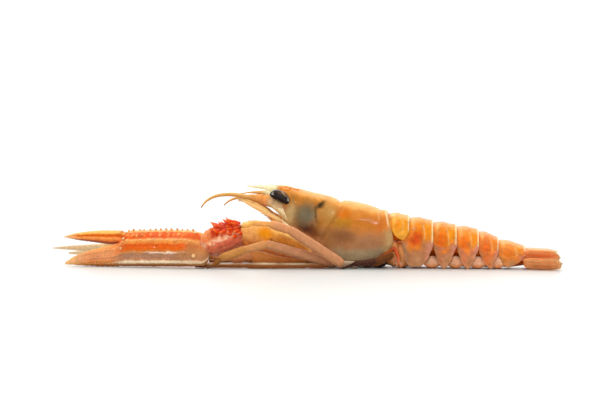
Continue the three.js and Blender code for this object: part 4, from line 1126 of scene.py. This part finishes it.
def spinesOn(shape, rows, foot, tip, seed):
    # cones in rows round the piece, their feet sunk in it, leaning towards the claw
    start, basis, length, high, wide, crown = shape
    rng = np.random.default_rng(seed)
    places = [np.arange(first + 0.5 * rows["step"] * (i % 2), last, rows["step"])
              for i, (_, first, last) in enumerate(rows["rows"])]
    turn = np.concatenate([np.full(len(row), turn) for row, (turn, _, _) in zip(places, rows["rows"])])
    t = np.concatenate(places)
    t, turn = t + rng.uniform(-0.02, 0.02, len(t)), np.radians(turn + rng.uniform(-4, 4, len(t)))
    size = rows["length"] * rng.uniform(0.55, 1.2, len(t))
    out = np.stack([0 * t, np.cos(turn), np.sin(turn)], -1)
    lifted = (high(t) * power(out[:, 2], 0.88) * 0.94
              + crown * hump(t, *armPieces["crownAt"]) * np.maximum(0, out[:, 2]) ** 1.5)
    spot = np.stack([length * t, wide(t) * power(out[:, 1], 0.88) * 0.94, lifted], -1)
    aim = unit(out + [0.7, 0, 0] + rng.normal(0, rows["stray"], (len(t), 3)))
    return scatter(spike, placed(spot, basis, start), aim @ basis, tall(size, size * rows["radius"]), foot,
                   tip)


def addArm(sign, name, side):
    # hip, upper arm, wrist and claw, each from one joint to the next
    hip, elbow, wrist, hand, hinge = side["arm"]
    p, far, roll, girth = armPieces, sign > 0, side["armRoll"], side["girth"]
    seed = 200 if far else 100
    body, _ = armSkin("hip", hip, elbow, 0, 1, seed, far)
    addPiece(f"hip_{name}Shell", body, "leg", sign, f"hip_{name}")
    body, shape = armSkin("upperArm", elbow, wrist, roll * 0.5, girth, seed + 10, far)
    extra = spinesOn(shape, p["armSpines"], p["armSpineTint"], p["armSpineTip"], seed + 11)
    addPiece(f"upperArm_{name}Shell", joinSkins([body, extra]), "claw", sign, f"upper_arm_{name}")
    body, shape = armSkin("wrist", wrist, hand, roll * 0.8, girth, seed + 20, far)
    rows = {**p["wristSpines"], "rows": p["wristSpines"]["rows"][2:5] if far else p["wristSpines"]["rows"]}
    extra = spinesOn(shape, rows, p["spineTint"], p["spineTip"], seed + 21)
    addPiece(f"wrist_{name}Shell", joinSkins([body, extra]), "claw", sign, f"wrist_{name}")
    start, basis, _ = limbFrame(hand, hinge, roll)
    body = placedSkin(handSkin(side, far, seed + 30), basis, start)
    addPiece(f"hand_{name}Shell", body, "claw", sign, f"hand_{name}")
    addPiece(f"handBeads_{name}", beadsOn(side, basis, start, seed + 40), "claw", sign)
    body = placedSkin(fingerSkin(side, far, seed + 50), basis, start)
    addPiece(f"finger_{name}Shell", body, "claw", sign, f"finger_{name}")


for sign, name, side in sides:
    addArm(sign, name, side)
print("claws built")

# walking legs: tints of each leg's pieces from the body outwards, the near side as the light shows it, with
# painted shade: dark brown at the bases and all along leg 4 under the carapace
legLook = {
    "tones": {
        "left": [
            colours((150, 90, 50), (170, 110, 76), (204, 140, 106), (216, 148, 96), (206, 138, 78),
                    (150, 92, 46)),
            colours((80, 44, 24), (176, 150, 128), (190, 162, 138), (212, 146, 108), (226, 152, 108),
                    (246, 172, 104), (252, 182, 100)),
            # leg 4: painted shade, dark brown for the shade under the carapace
            colours((70, 30, 10), (96, 48, 20), (150, 84, 40), (120, 68, 34), (84, 46, 22), (70, 42, 24)),
            colours((120, 60, 26), (186, 96, 48), (214, 92, 56), (226, 110, 76))],
        "right": [colours((176, 100, 60), (190, 112, 70), (206, 132, 92), (214, 140, 98), (212, 140, 84),
                          (170, 104, 56))] * 4,
    },
    "tip": colour(70, 38, 20), "stations": 44, "around": 24,
    "hair": colour(206, 140, 84), "hairs": 50, "hairLength": (0.35, 0.8), "hairRadius": 0.045,
}


def legSkin(leg, tones, seed):
    # each piece is a tube of radius r(t), nearly even, a
    # little taller than wide, its ends inside its neighbours
    skins = []
    pieces = len(leg["girth"])
    for i, radius in enumerate(leg["girth"]):
        start, basis, length = limbFrame(leg["joints"][i], leg["joints"][i + 1])
        over = 0.35 * radius / length
        t = np.linspace(-over, 1 + over, legLook["stations"])[:, None]
        last = i == pieces - 1
        if last:
            r = curveThrough([(-0.05, 0.7), (0.08, 0.95), (0.3, 0.9), (0.7, 0.5), (1.0, 0.12),
                              (1 + over, 0.05)])(t)
        else:
            after = leg["girth"][i + 1] / radius
            r = curveThrough([(-over, 0.5), (0, 0.85), (0.12, 1), (0.5, 1), (0.88, 0.94),
                              (1, min(1, max(0.75, after))), (1 + over, 0.4)])(t)
        v = circle(legLook["around"])
        bow = -0.5 * radius * np.sin(np.pi * np.clip(t, 0, 1)) if last else 0
        points = grid(length * t, radius * r * 0.86 * np.cos(v), radius * r * 1.06 * np.sin(v) + bow)
        points = placed(points, basis, start)
        tone = blend(tones[i], tones[min(i + 1, pieces - 1)], 0.5 * ease((t - 0.7) / 0.3))
        # painted shade below, 0.72 of the tint, and a painted highlight along the top, up to 1.35 of it
        tone = blend(tone, tones[i] * 0.72, 0.7 * ease((-np.sin(v) - 0.3) / 0.5))
        tone = blend(tone, np.minimum(tones[i] * 1.35, 1), 0.55 * hump(v, np.pi / 2, 0.55))
        tone = blend(tone, legLook["tip"], ease((t - 0.5) / 0.45)) if last else tone
        tone = tone * (1 + 0.05 * ripple(points, 3, seed + i) + 0.09
                       * ease(ripple(points, 0.7, seed + 9 + i) - 0.2))[..., None]
        points = points + outwards(points) * (0.03 * ripple(points, 0.9, seed + 2 * i))[..., None]
        skins.append(closedSkin(points, tone))
    return joinSkins(skins)


def legHairs(leg, seed):
    # tufts along the last two pieces, slanting towards the tip
    rng = np.random.default_rng(seed)
    count, last = legLook["hairs"], len(leg["girth"]) - 1
    spots, aims = [], []
    for i in (last - 1, last):
        start, basis, length = limbFrame(leg["joints"][i], leg["joints"][i + 1])
        t, turn = rng.uniform(0.1, 0.92, count), rng.uniform(0, 2 * np.pi, count)
        out = np.stack([0 * t, np.cos(turn), np.sin(turn)], -1)
        r = leg["girth"][i] * (0.85 if i < last else 0.75 - 0.55 * t)
        spots.append(placed(out * np.reshape(r, (-1, 1)) + grid(length * t, 0, 0), basis, start))
        aims.append(unit(out + [1.4, 0, 0]) @ basis)
    size = rng.uniform(*legLook["hairLength"], 2 * count)
    return scatter(hair, np.concatenate(spots), np.concatenate(aims), tall(size, legLook["hairRadius"]),
                   legLook["hair"])


for sign, name, side in sides:
    for i, leg in enumerate(side["legs"]):
        seed = 300 + 20 * i + (sign > 0) * 7
        body = legSkin(leg, legLook["tones"][name][i], seed)
        addPiece(f"leg{i + 2}_{name}Shell", body, "leg", sign, f"leg_{i + 2}_{name}")
        addPiece(f"leg{i + 2}_{name}Hairs", legHairs(leg, seed + 3), "hair", sign)
print("legs built")

# head: eyes, feelers and mouth legs
head = {
    "eye": {"middle": (-13.4, -7.4, 33.6), "length": 10, "height": 5.2, "width": 4.6, "dip": 26,
            # paintedReflection and glintTint: a painted reflection and painted glints on the eye
            "bend": 0.9, "paintedReflection": colour(196, 150, 118), "share": 0.85,
            "glintTint": colour(255, 250, 240),
            "paintedGlints": [(-0.74, -0.1, 0.1), (-0.8, 0.42, 0.07), (0.86, 0.3, 0.09), (0.8, 0.62, 0.07)]},
    "eyeStalk": [(-16.6, -2.4, 32.2, 0.8), (-16.4, -3.5, 32.8, 1.1), (-16.1, -4.4, 33.4, 1.15)],
    "smallFeeler": [(-15.6, -1.2, 33.4, 1.2), (-20, -1.6, 34.6, 1.5), (-24, -1.9, 35.2, 0.9),
                    (-29, -2.2, 35.2, 0.4), (-33.4, -2.6, 34.6, 0.2)],
    "feelerBase": [(-10.5, -5.6, 26.2, 1.9), (-13, -5.4, 28, 2.35), (-16.4, -5.2, 30.2, 2.35),
                   (-19, -5, 31.3, 2.6), (-21.4, -4.9, 32, 2.5),
                   (-24, -4.7, 32.7, 1.9), (-26.4, -4.6, 33.1, 1.2), (-29, -4.5, 33.4, 0.9)],
    "facePlate": [(-8.4, -6.2, 20.6, 1.2), (-10.2, -6.6, 23.6, 1.9), (-12.6, -6.4, 26.2, 1.9),
                  (-15.6, -6, 28.2, 1.5), (-18.2, -5.8, 29.6, 0.7)],
    "mouthLeg": [(-5.4, -4.2, 13.2, 1.3), (-10, -4.6, 16.4, 1.6), (-14.2, -5, 20, 1.6),
                 (-18, -4.9, 23.8, 1.5), (-22.8, -4.7, 27.7, 1.4),
                 (-27.2, -4.5, 30.5, 1.1), (-31, -4.4, 31.8, 0.6), (-34, -4.3, 32.2, 0.3)],
    "palp": [(-6.6, -6.2, 15.4, 0.9), (-9, -6.6, 18, 1.3), (-11.6, -6.6, 20.6, 1.1), (-13.4, -6.4, 22, 0.4)],
    "scale": {"root": (-12.4, -8.4, 21.8), "tip": (-32.6, -7.4, 32), "half": 1.15, "thick": 0.9, "roll": 62},
    "feelerTint": colour(250, 190, 118), "baseTint": colour(250, 164, 92),
    # baseShade, faceShade and mouthShade: painted shade for the pieces' undersides
    "baseRear": colour(232, 190, 146), "baseShade": colour(238, 150, 92), "faceTint": colour(255, 230, 186),
    "faceShade": colour(222, 184, 136), "mouthTint": colour(255, 204, 136),
    "mouthShade": colour(250, 180, 110), "scaleTint": colour(252, 200, 140),
    "hairTint": colour(250, 196, 130), "stalk": colour(250, 216, 160), "paleTint": colour(255, 238, 196),
    "frontDots": {"from": -14, "to": -7.4, "count": 17, "size": 0.3, "tint": colour(214, 112, 20)},
    "toothFoot": colour(240, 220, 150), "toothTip": colour(150, 146, 96), "feelerTip": colour(120, 60, 34),
    "bead": 0.7, "hairRadius": 0.055,          # length of one bead of a feeler
    "rostrumTeeth": [(-29, 0, 38.7, 1.1), (-23.6, 0, 38.9, 1.3), (-18.6, 0, 39, 1.2),
                     (-20.6, 0.9, 38.1, 0.9), (-20.6, -0.9, 38.1, 0.9)],
    # the last spine stands where the brow shows a glint: its pale tip is partly the spine's own colour,
    # partly a painted glint
    "browSpines": [(-9.2, 37.3, 0.9), (-5.4, 36.6, 0.7), (0.6, 34.8, 0.6), (-5.8, 30.6, 0.9)],
    "browFoot": colour(244, 160, 76), "browTipAndGlint": colour(255, 226, 176),
}


def eyeSkin():
    # bean: radius sin(u)^0.8 about an axis bowed down by bend (x / long)^2
    e = head["eye"]
    u = np.pi * np.linspace(0.02, 0.98, 70)[:, None]
    a = circle(60)
    x = -e["length"] / 2 * np.cos(u)
    girth = np.sin(u) ** 0.75
    points = grid(x, e["width"] / 2 * girth * np.cos(a),
                  e["height"] / 2 * girth * np.sin(a) - e["bend"]
                  * (2 * x / e["length"]) ** 2)
    # painted reflection: brown streaks along the upper side; painted glints: pale spots near both ends
    across, along = np.sin(a) + 0 * u, 2 * x / e["length"] + 0 * a
    streaks = 0.6 + 0.4 * np.sin(9 * across + 2.5 * np.sin(4 * along))
    paintedReflection = hump(across, 0.72, 0.26) * hump(along, 0.12, 0.5) * streaks * (np.cos(a) < 0.3)
    tone = blend(0 * e["paintedReflection"], e["paintedReflection"], e["share"] * paintedReflection)
    for spot, height, size in e["paintedGlints"]:
        share = np.exp(-((along - spot) ** 2 + (across - height) ** 2) / size ** 2) * (np.cos(a) < 0)
        tone = blend(tone, e["glintTint"], share)
    return closedSkin(points @ noseDown(e["dip"]) + np.array(e["middle"]), tone)


def feelerSkin(stations, root, rings=0.07):
    # round tube with a bead every 0.7 mm: r (1 + rings cos)
    length = np.linalg.norm(np.diff(np.array(stations)[:, :3], axis=0), axis=1).sum()
    beads = int(length / head["bead"])

    def swell(s):
        # one bulge for each bead, past the smooth root
        return 1 + rings * np.cos(2 * np.pi * s * beads) * (s > 0.3)

    def tint(s, turn):
        # from the root's colour to the feeler's, dark at the tip and between beads, with painted shade on the
        # lower side
        tone = blend(root, head["feelerTint"], ease((s - 0.25) / 0.25))
        tone = blend(tone, head["feelerTip"], 0.7 * ease((s - 0.93) / 0.06))
        tone = tone * (1 - 0.12 * (np.cos(2 * np.pi * s * beads) < -0.5) * (s > 0.3))[:, None]
        return tone[:, None] * (0.86 + 0.14 * np.sin(turn))[None, :, None]

    return tubeAlong(stations, beads * 6, 14, tint, swell)


def alongHairs(stations, count, length, seed, tone, spread=(0, 360), start=0.15, lean=0.8):
    # hairs standing off a tube's path within an arc of directions
    rng = np.random.default_rng(seed)
    path = pathThrough(stations, 200)
    pick = rng.integers(int(200 * start), 196, count)
    ahead, side, up = (way[pick] for way in framesAlong(path))
    turn = np.radians(rng.uniform(*spread, count))[:, None]
    out = np.cos(turn) * side + np.sin(turn) * up
    size = rng.uniform(0.55, 1.0, count) * length
    return scatter(hair, path[pick, :3] + out * path[pick, 3:4] * 0.9, unit(out + lean * ahead),
                   tall(size, head["hairRadius"]), tone)


def segmented(stations, count, joints, tints, seed, flat=0.75, depth=0.16):
    # tube pinched at each joint share by a narrow hump, painted light above and with painted shade below,
    # darker in the pinches; a third tint colours its first half

    def swell(s):
        # 1 less a bell at each joint, with a fine wave
        return 1 - sum(depth * hump(s, j, 0.022) for j in joints) + 0.04 * np.sin(s * 40)

    def tint(s, turn):
        # first tint above, the second below as painted shade, third in the front half
        tone = blend(tints[0], tints[1], ease((0.15 - np.sin(turn)) / 0.9)[None])
        tone = blend(tone, tints[2], ease((0.56 - s) / 0.22)[:, None]) if len(tints) > 2 else tone
        pinch = 1 - 0.16 * sum(hump(s, j, 0.018) for j in joints)
        return tone * (pinch * (1 + 0.06 * np.sin(s * 90 + seed) * np.sin(s * 37)))[:, None, None]

    return tubeAlong(stations, count, 28, tint, swell, flat)


def scaleSkin(seed):
    # slender leaf, half width half sin(pi t^0.8)^0.5, with two shallow veins
    plate = head["scale"]
    t = np.linspace(0.006, 0.994, 60)[:, None]
    outline = np.sin(np.pi * t ** 0.8) ** 0.5
    across = np.cos(circle(60))
    start, basis, length = limbFrame(plate["root"], plate["tip"], -plate["roll"])
    z = plate["thick"] * 0.5 * outline * np.sin(circle(60)) + 0.08 * np.cos(across * 6)
    z = z - plate["half"] * fan["dish"] * across ** 2
    points = placed(grid(length * t, plate["half"] * outline * across, z), basis, start)
    return closedSkin(points, blend(head["scaleTint"], head["mouthTint"], 0.5
                                    * ease(ripple(points, 4, seed))))


def frontDots():
    # small orange beads down the carapace's front margin, below the eye
    d = head["frontDots"]
    x = np.linspace(d["from"], d["to"], d["count"])
    spots = np.stack([x - 0.2, -halfWidth(x) * 0.86, edge(x) + 0.5], -1)
    return scatter(bead, spots, np.tile([-0.6, -0.8, 0], (len(x), 1)), np.full(len(x), d["size"]), d["tint"])


def browSpines():
    # cones on the flank where its height equals the station's, leaning forwards and outwards
    x, z, size = np.array(head["browSpines"]).T
    drop = np.clip((back(x) - z) / (back(x) - edge(x)) * (1 - math.cos(carapace["tuck"])), 0, 1)
    lean = np.arccos(1 - drop)
    feet = np.stack([x, -halfWidth(x) * np.sin(lean) * 0.97, z], -1)
    aims = unit(grid(-1.2, -np.sin(lean), np.cos(lean)))
    return scatter(spike, feet, aims, tall(size * 1.3, size * 0.4), head["browFoot"], head["browTipAndGlint"])


def rostrumTeeth():
    # cones along the rostrum, their feet sunk in it, leaning forwards and the outer ones outwards
    x, y, z, size = np.array(head["rostrumTeeth"]).T
    aims = unit(grid(-0.9, y * 0.9, 0.7 - 0.5 * np.abs(y)))
    return scatter(spike, np.stack([x, y, z - 0.35], -1), aims, tall(size, size * 0.3), head["toothFoot"],
                   head["toothTip"])


def addHead(sign, name, side):
    # one side's eye, feelers, face plate, mouth leg, palp, scale and small spines
    h, seed = head, 500 + (sign > 0) * 31
    feelerBase = segmented(h["feelerBase"], 110, (0.3, 0.62, 0.86),
                           (h["baseTint"], h["baseShade"], h["baseRear"]), seed, 0.6)
    feeler = joinSkins([feelerSkin(side["feeler"], h["baseTint"]), feelerBase])
    face = segmented(h["facePlate"], 90, (0.35, 0.68), (h["faceTint"], h["faceShade"]), seed, 0.45, 0.1)
    faceHairs = alongHairs(h["facePlate"], 150, 0.9, seed + 5, h["faceTint"], (200, 330), 0.2, 0.3)
    mouth = segmented(h["mouthLeg"], 120, (0.22, 0.46, 0.7, 0.87), (h["mouthTint"], h["mouthShade"]), seed,
                      0.75, 0.12)
    mouthHairs = alongHairs(h["mouthLeg"], 300, 1.9, seed + 2, h["hairTint"], (200, 340), 0.4)
    palp = segmented(h["palp"], 50, (0.4, 0.75), (h["faceTint"], h["mouthShade"]), seed, 0.8)
    for piece, skin, look, slot, node in (
            (f"eye_{name}Bean", eyeSkin(), "eye", "eye", "eye"),
            (f"eyeStalk_{name}Skin", tubeAlong(h["eyeStalk"], 24, 20, h["stalk"]), "leg", "leg", "eye_stalk"),
            (f"feeler_{name}Skin", feeler, "leg", "leg", "feeler"),
            (f"smallFeeler_{name}Skin", feelerSkin(h["smallFeeler"], h["paleTint"]), "leg", "leg",
             "small_feeler"),
            (f"facePlate_{name}", face, "leg", "leg", None),
            (f"facePlate_{name}Hairs", faceHairs, "hair", "leg", None),
            (f"mouthLeg_{name}Skin", mouth, "leg", "leg", "mouth_leg"),
            (f"mouthLeg_{name}Hairs", mouthHairs, "hair", "leg", None),
            (f"palp_{name}", palp, "leg", "leg", None),
            (f"feelerScale_{name}Skin", scaleSkin(seed + 3), "leg", "leg", "feeler_scale"),
            (f"frontDots_{name}", frontDots(), "body", "shell", None),
            (f"browSpines_{name}", browSpines(), "body", "shell", None)):
        addPiece(piece, skin, look, sign, node and f"{node}_{name}")


for sign, name, side in sides:
    addHead(sign, name, side)
addPiece("rostrumTeeth", rostrumTeeth(), "body")
print("head built")

# underside
under = {
    "sternum": {"from": -1, "to": 34, "half": 4.6, "depth": 2.4, "gap": 0.5, "tint": colour(120, 66, 36)},
    "coxae": {"at": [4.6, 10.8, 16.8, 22.8, 28.6, 34], "long": 3.6, "wide": 2.9, "tall": 2.7, "side": 7.2,
              "middle": 2.8,
              # tint: painted shade under the carapace edge, light: its painted lit top, front: painted light
              # on the first two
              "tint": colour(52, 24, 10), "light": colour(96, 50, 22), "front": colour(170, 96, 48)},
    "skirt": {"from": 35.6, "to": 50, "low": 0.8, "high": 15, "half": 9.7, "tint": colour(232, 156, 98),
              "pink": colour(240, 154, 120), "fold": colour(214, 124, 70)},
    # thin end of a small leg lying along the table between the near claw and the carapace; its brown is
    # painted shade and its pale top a painted highlight
    "lying": [(-52, -20.6, 1.2, 1.1), (-38, -21.2, 1.25, 1.2), (-16, -20, 1.3, 1.3), (4, -16.4, 1.4, 1.3),
              (16, -12, 1.9, 1.1)],
    "lyingShade": colour(172, 104, 60), "lyingHighlight": colour(255, 228, 190),
    "paddle": {"long": 8.8, "tall": 2.8, "thick": 1.8, "side": 7, "middle": 2.8,
               "tint": colour(255, 186, 150), "edge": colour(255, 206, 176),
               "root": colour(240, 140, 74), "inner": 3.4,
               # for each ring
               "shares": [0.62, 1, 1, 1, 0.78], "behind": [-3.7, 0.3, 0.3, 0.3, 0.3]},
    "bed": {"from": 46, "to": 103, "half": 5.4, "tint": colour(206, 96, 34),
            "high": [(46, 8.6), (58, 7.4), (70, 6.6), (80, 6), (90, 5), (103, 4.6)],
            "low": [(46, 3.4), (58, 1), (70, 0.7), (80, 0.6), (90, 0.6), (103, 1)]},
}


def sternumSkin():
    # oval bar under the belly with a waist between each pair of legs, painted dark brown for the shade under
    # the body
    u = under["sternum"]
    x = np.linspace(u["from"], u["to"], 120)[:, None]
    a = circle(48)
    waist = 1 + 0.12 * np.cos(2 * np.pi * (x - 2) / 6.2)
    close = closing((x - u["from"]) / (u["to"] - u["from"]), 10, 0.05)
    thick = u["depth"] / 2
    points = grid(x, u["half"] * waist * close * np.cos(a),
                  bellyAt(x) - u["gap"] - thick + thick * waist
                  * power(np.sin(a), 0.6) * 0.9 * close)
    return closedSkin(points, mottled(u["tint"], points, (0.1, 4, 9)))


def ovalSkin(middle, sizes, tilt, tone, light, seed, rings=28, around=32):
    # ellipsoid of half sizes along x, y and z, turned nose-down by tilt degrees, painted lighter on top as
    # lit from above
    u = np.pi * np.linspace(0.03, 0.97, rings)[:, None]
    a = circle(around)
    points = grid(-sizes[0] * np.cos(u), sizes[1] * np.sin(u) ** 0.8 * np.cos(a), sizes[2] * np.sin(u)
                  ** 0.8 * np.sin(a))
    points = points @ noseDown(tilt) + np.array(middle)
    tint = blend(tone, light, ease((np.sin(a) + 0.2) / 1.1))
    points[..., 2] = np.maximum(points[..., 2], 0.05)
    return closedSkin(points, mottled(tint, points, (0.08, 2, seed)))


def coxaeSkin():
    # a row of stout overlapping leg bases under the carapace's edge, painted near black for the shade there;
    # the first two painted brown-orange for the light from the front
    c = under["coxae"]
    skins = []
    for i, x in enumerate(c["at"]):
        middle, size = (x, -c["side"] + 0.25 * abs(i - 2), c["middle"]), (c["long"], c["wide"], c["tall"])
        tone, light = (c["front"], c["front"]) if i < 2 else (c["tint"], c["light"])
        skins.append(ovalSkin(middle, size, 14 - 6 * i, tone, light, 700 + i))
    return joinSkins(skins)


def lyingSkin():
    # tube flattened against the table, brown as painted shade with a painted highlight along its top, pinched
    # at two joints
    def tint(s, turn):
        # painted highlight along the top, in patches
        patches = 0.7 + 0.3 * np.sin(9 * s + 2 * np.sin(23 * s))
        top = ease((np.sin(turn) - 0.05) / 0.4)[None] * patches[:, None]
        return blend(under["lyingShade"], under["lyingHighlight"], top)

    def swell(s):
        # a slow wave with a pinch at each joint
        return 1 + 0.08 * np.sin(17 * s) - 0.2 * hump(s, 0.36, 0.012) - 0.2 * hump(s, 0.7, 0.012)

    return tubeAlong(under["lying"], 90, 20, tint, swell)


def skirtSkin():
    # soft wall under the first ring: half an oval section from low to high, folded crosswise
    k = under["skirt"]
    t = np.linspace(0, 1, 60)[:, None]
    a = circle(80)
    x = k["from"] + (k["to"] - k["from"]) * t
    close = closing(t, 8, 0.04)
    rise = (k["high"] - k["low"]) / 2
    y = k["half"] * power(np.cos(a), 0.8) * close
    z = k["low"] + rise + rise * power(np.sin(a), 0.8) * close - 0.8 * t
    folds = 0.3 * np.cos(2 * np.pi * (t * 3.1 + 0.06 * np.sin(a)))
    points = grid(x, y, z)
    points = points + outwards(points) * (folds + 0.12 * ripple(points, 3, 81))[..., None]
    tone = blend(k["tint"], k["pink"], 0.7 * ease(ripple(points, 5, 82) + 0.2))
    return closedSkin(points, blend(tone, k["fold"], 0.7 * ease((-folds - 0.12) / 0.15)))


def bedSkin():
    # the fleshy floor between the swimming legs: a low arch following the rings' undersides
    b = under["bed"]
    x = np.linspace(b["from"], b["to"], 120)[:, None]
    a = circle(40)
    high, low = curveThrough(b["high"])(x), curveThrough(b["low"])(x)
    close = closing((x - b["from"]) / (b["to"] - b["from"]), 12, 0.05)
    waves = 1 + 0.06 * np.cos(2 * np.pi * (x - 53) / 10.4)
    points = grid(x, b["half"] * waves * close * np.cos(a), (high + low) / 2 + (high - low) / 2 * waves
                  * close * np.sin(a))
    return closedSkin(points, mottled(b["tint"], points, (0.1, 5, 83)))


def paddleSkin(index, side, seed):
    # leaf standing on edge behind each side plate: half height
    # tall sin(pi t^0.9)^0.62, ribbed, with a bulging face
    p, ring = under["paddle"], tail["rings"][index]
    long = p["long"] * p["shares"][index]
    middle = (ring["to"] + p["behind"][index], -side, p["middle"])
    t = np.linspace(0.006, 0.994, 60)[:, None]
    a = circle(64)
    outline = np.sin(np.pi * t ** 0.9) ** 0.62
    up, out = np.sin(a), np.cos(a)
    ribs = 0.12 * np.cos(2 * np.pi * (up * 1.6 + t * 0.4)) * ease(t / 0.2)
    bulge = (0.3 * (1 - up ** 2) + ribs * 0.6) * (out < 0) * outline
    points = grid(long * (t - 0.5), p["thick"] / 2 * outline * out - bulge,
                  p["tall"] * outline * up + 0.5 * np.sin(np.pi * t)
                  - 0.25) + np.array(middle)
    points[..., 2] = np.maximum(points[..., 2], 0.06)
    tone = blend(p["tint"], p["edge"], 0.7 * ease((np.abs(up) - 0.55) / 0.35) + 0.4
                 * ease((ribs - 0.05) / 0.08))
    ends = ease((0.2 - t) / 0.2) + ease((t - 0.84) / 0.16) + ease((-up - 0.25) / 0.5)
    tone = blend(tone, p["root"], 0.8 * ends)
    stem = tubeAlong([(ring["from"] + 0.42 * (ring["to"] - ring["from"]), -side + 0.4, ring["belly"] - 1.6,
                       1.1),
                      (middle[0] - 0.42 * long, -side, 4.2, 1.1), (middle[0] - 0.2 * long, -side, 3, 0.9)],
                     24, 16, p["root"])
    return joinSkins([closedSkin(points, mottled(tone, points, (0.06, 3, seed))), stem])


addPiece("sternumSkin", sternumSkin(), "flesh", node="sternum")
addPiece("ringOneSkirt", skirtSkin(), "flesh")
addPiece("swimmingBed", bedSkin(), "flesh")
for sign, name, side in sides:
    addPiece(f"legBases_{name}", coxaeSkin(), "flesh", sign)
    addPiece(f"lyingLeg_{name}", lyingSkin(), "leg", sign)
    for i in range(5):
        leaves = [paddleSkin(i, under["paddle"]["side"], 600 + i),
                  paddleSkin(i, under["paddle"]["inner"], 610 + i)]
        addPiece(f"paddle{i + 1}_{name}Skin", joinSkins(leaves), "flesh", sign,
                 f"paddle_{i + 1}_{name}")
print("underside built")

# stage, light and camera
view = {"azimuth": 5.0, "elevation": 3.5, "distance": 0.70, "roll": -0.25, "scale": 0.48,
        "centre": (310, 266.1), "frame": (601, 400)}

studio = {
    "rear": 1.3, "front": 0.56,      # the white room's brightness behind the table and on the camera's side
    "tableHalf": 3.0, "tableRear": 1.0,
    "table": {"Base Color": (0.73, 0.75, 0.72, 1), "Roughness": 0.36, "Specular IOR Level": 0.5},
    "lights": [
        {"name": "rearTop", "place": (0.05, 0.85, 1.15), "size": 1.1, "watts": 5},
        {"name": "lowFront", "place": (0.0, -1.1, 0.25), "size": 0.7, "watts": 1.8},
        {"name": "crispLeft", "place": (-0.4, -0.3, 0.8), "size": 0.045, "watts": 1.8},
        {"name": "crispRight", "place": (0.2, -0.5, 0.7), "size": 0.035, "watts": 1.0},
    ],
}


def addCamera():
    # stands so that the model's zero falls on view["centre"] and 1 pixel there is view["scale"] mm
    pixels = view["distance"] / (view["scale"] * mm)
    az, el = math.radians(view["azimuth"]), math.radians(view["elevation"])
    target = shift * mm
    spot = target + view["distance"] * np.array([math.sin(az) * math.cos(el), -math.cos(az) * math.cos(el),
                                                 math.sin(el)])
    aside = math.atan((view["centre"][0] - view["frame"][0] / 2) / pixels)
    under = math.atan((view["centre"][1] - view["frame"][1] / 2) / pixels)
    camera = bpy.data.objects.new("camera", bpy.data.cameras.new("camera"))
    camera.location = spot
    camera.rotation_euler = (math.pi / 2 - el + under, math.radians(view["roll"]), az + aside)
    camera.data.lens = camera.data.sensor_width * pixels / view["frame"][0]
    camera.data.clip_start = 0.01
    scene.collection.objects.link(camera)
    scene.camera = camera


def addStage():
    # one white rectangle; it ends just behind the rear light, where it is still white
    mesh = bpy.data.meshes.new("table")
    r, rear = studio["tableHalf"], studio["tableRear"]
    mesh.from_pydata([(-r, -r, 0), (r, -r, 0), (r, rear, 0), (-r, rear, 0)], [], [(0, 1, 2, 3)])
    table = bpy.data.objects.new("table", mesh)
    scene.collection.objects.link(table)
    material = bpy.data.materials.new("whiteTable")
    material.use_nodes = True
    fill(material.node_tree.nodes["Principled BSDF"], studio["table"])
    mesh.materials.append(material)


def addLights():
    # a white room, brighter behind the table than on the camera's side, one big soft light
    # behind, one in front and two small crisp ones; the camera itself sees plain white
    world = bpy.data.worlds.new("studio")
    scene.world = world
    world.use_nodes = True
    tree = world.node_tree
    place = addNode(tree, "TexCoord", {}, "Generated")
    room = addNode(tree, "MapRange",
                   {"From Min": -0.5, "From Max": 0.5, "To Min": studio["front"], "To Max": studio["rear"],
                    "Value": addNode(tree, "SeparateXYZ", {"Vector": place}, "Y")},
                   "Result")
    seen = addNode(tree, "LightPath", {}, "Is Camera Ray")
    strength = addNode(tree, "Math", {0: room, 1: seen}, 0, "MAXIMUM")
    fill(tree.nodes["Background"], {"Color": (1, 1, 1, 1), "Strength": strength})
    for lamp in studio["lights"]:
        light = bpy.data.lights.new(lamp["name"], "AREA")
        light.size = lamp["size"]
        light.energy = lamp["watts"]
        piece = bpy.data.objects.new(lamp["name"], light)
        piece.location = lamp["place"]
        aim = -np.array(lamp["place"]) + [0, 0, 0.02]
        piece.rotation_euler = (math.atan2(math.hypot(aim[0], aim[1]), -aim[2]), 0,
                                math.atan2(aim[1], aim[0]) - math.pi / 2)
        scene.collection.objects.link(piece)


addCamera()
addStage()
addLights()
scene.view_settings.view_transform = "Standard"
print("stage ready")
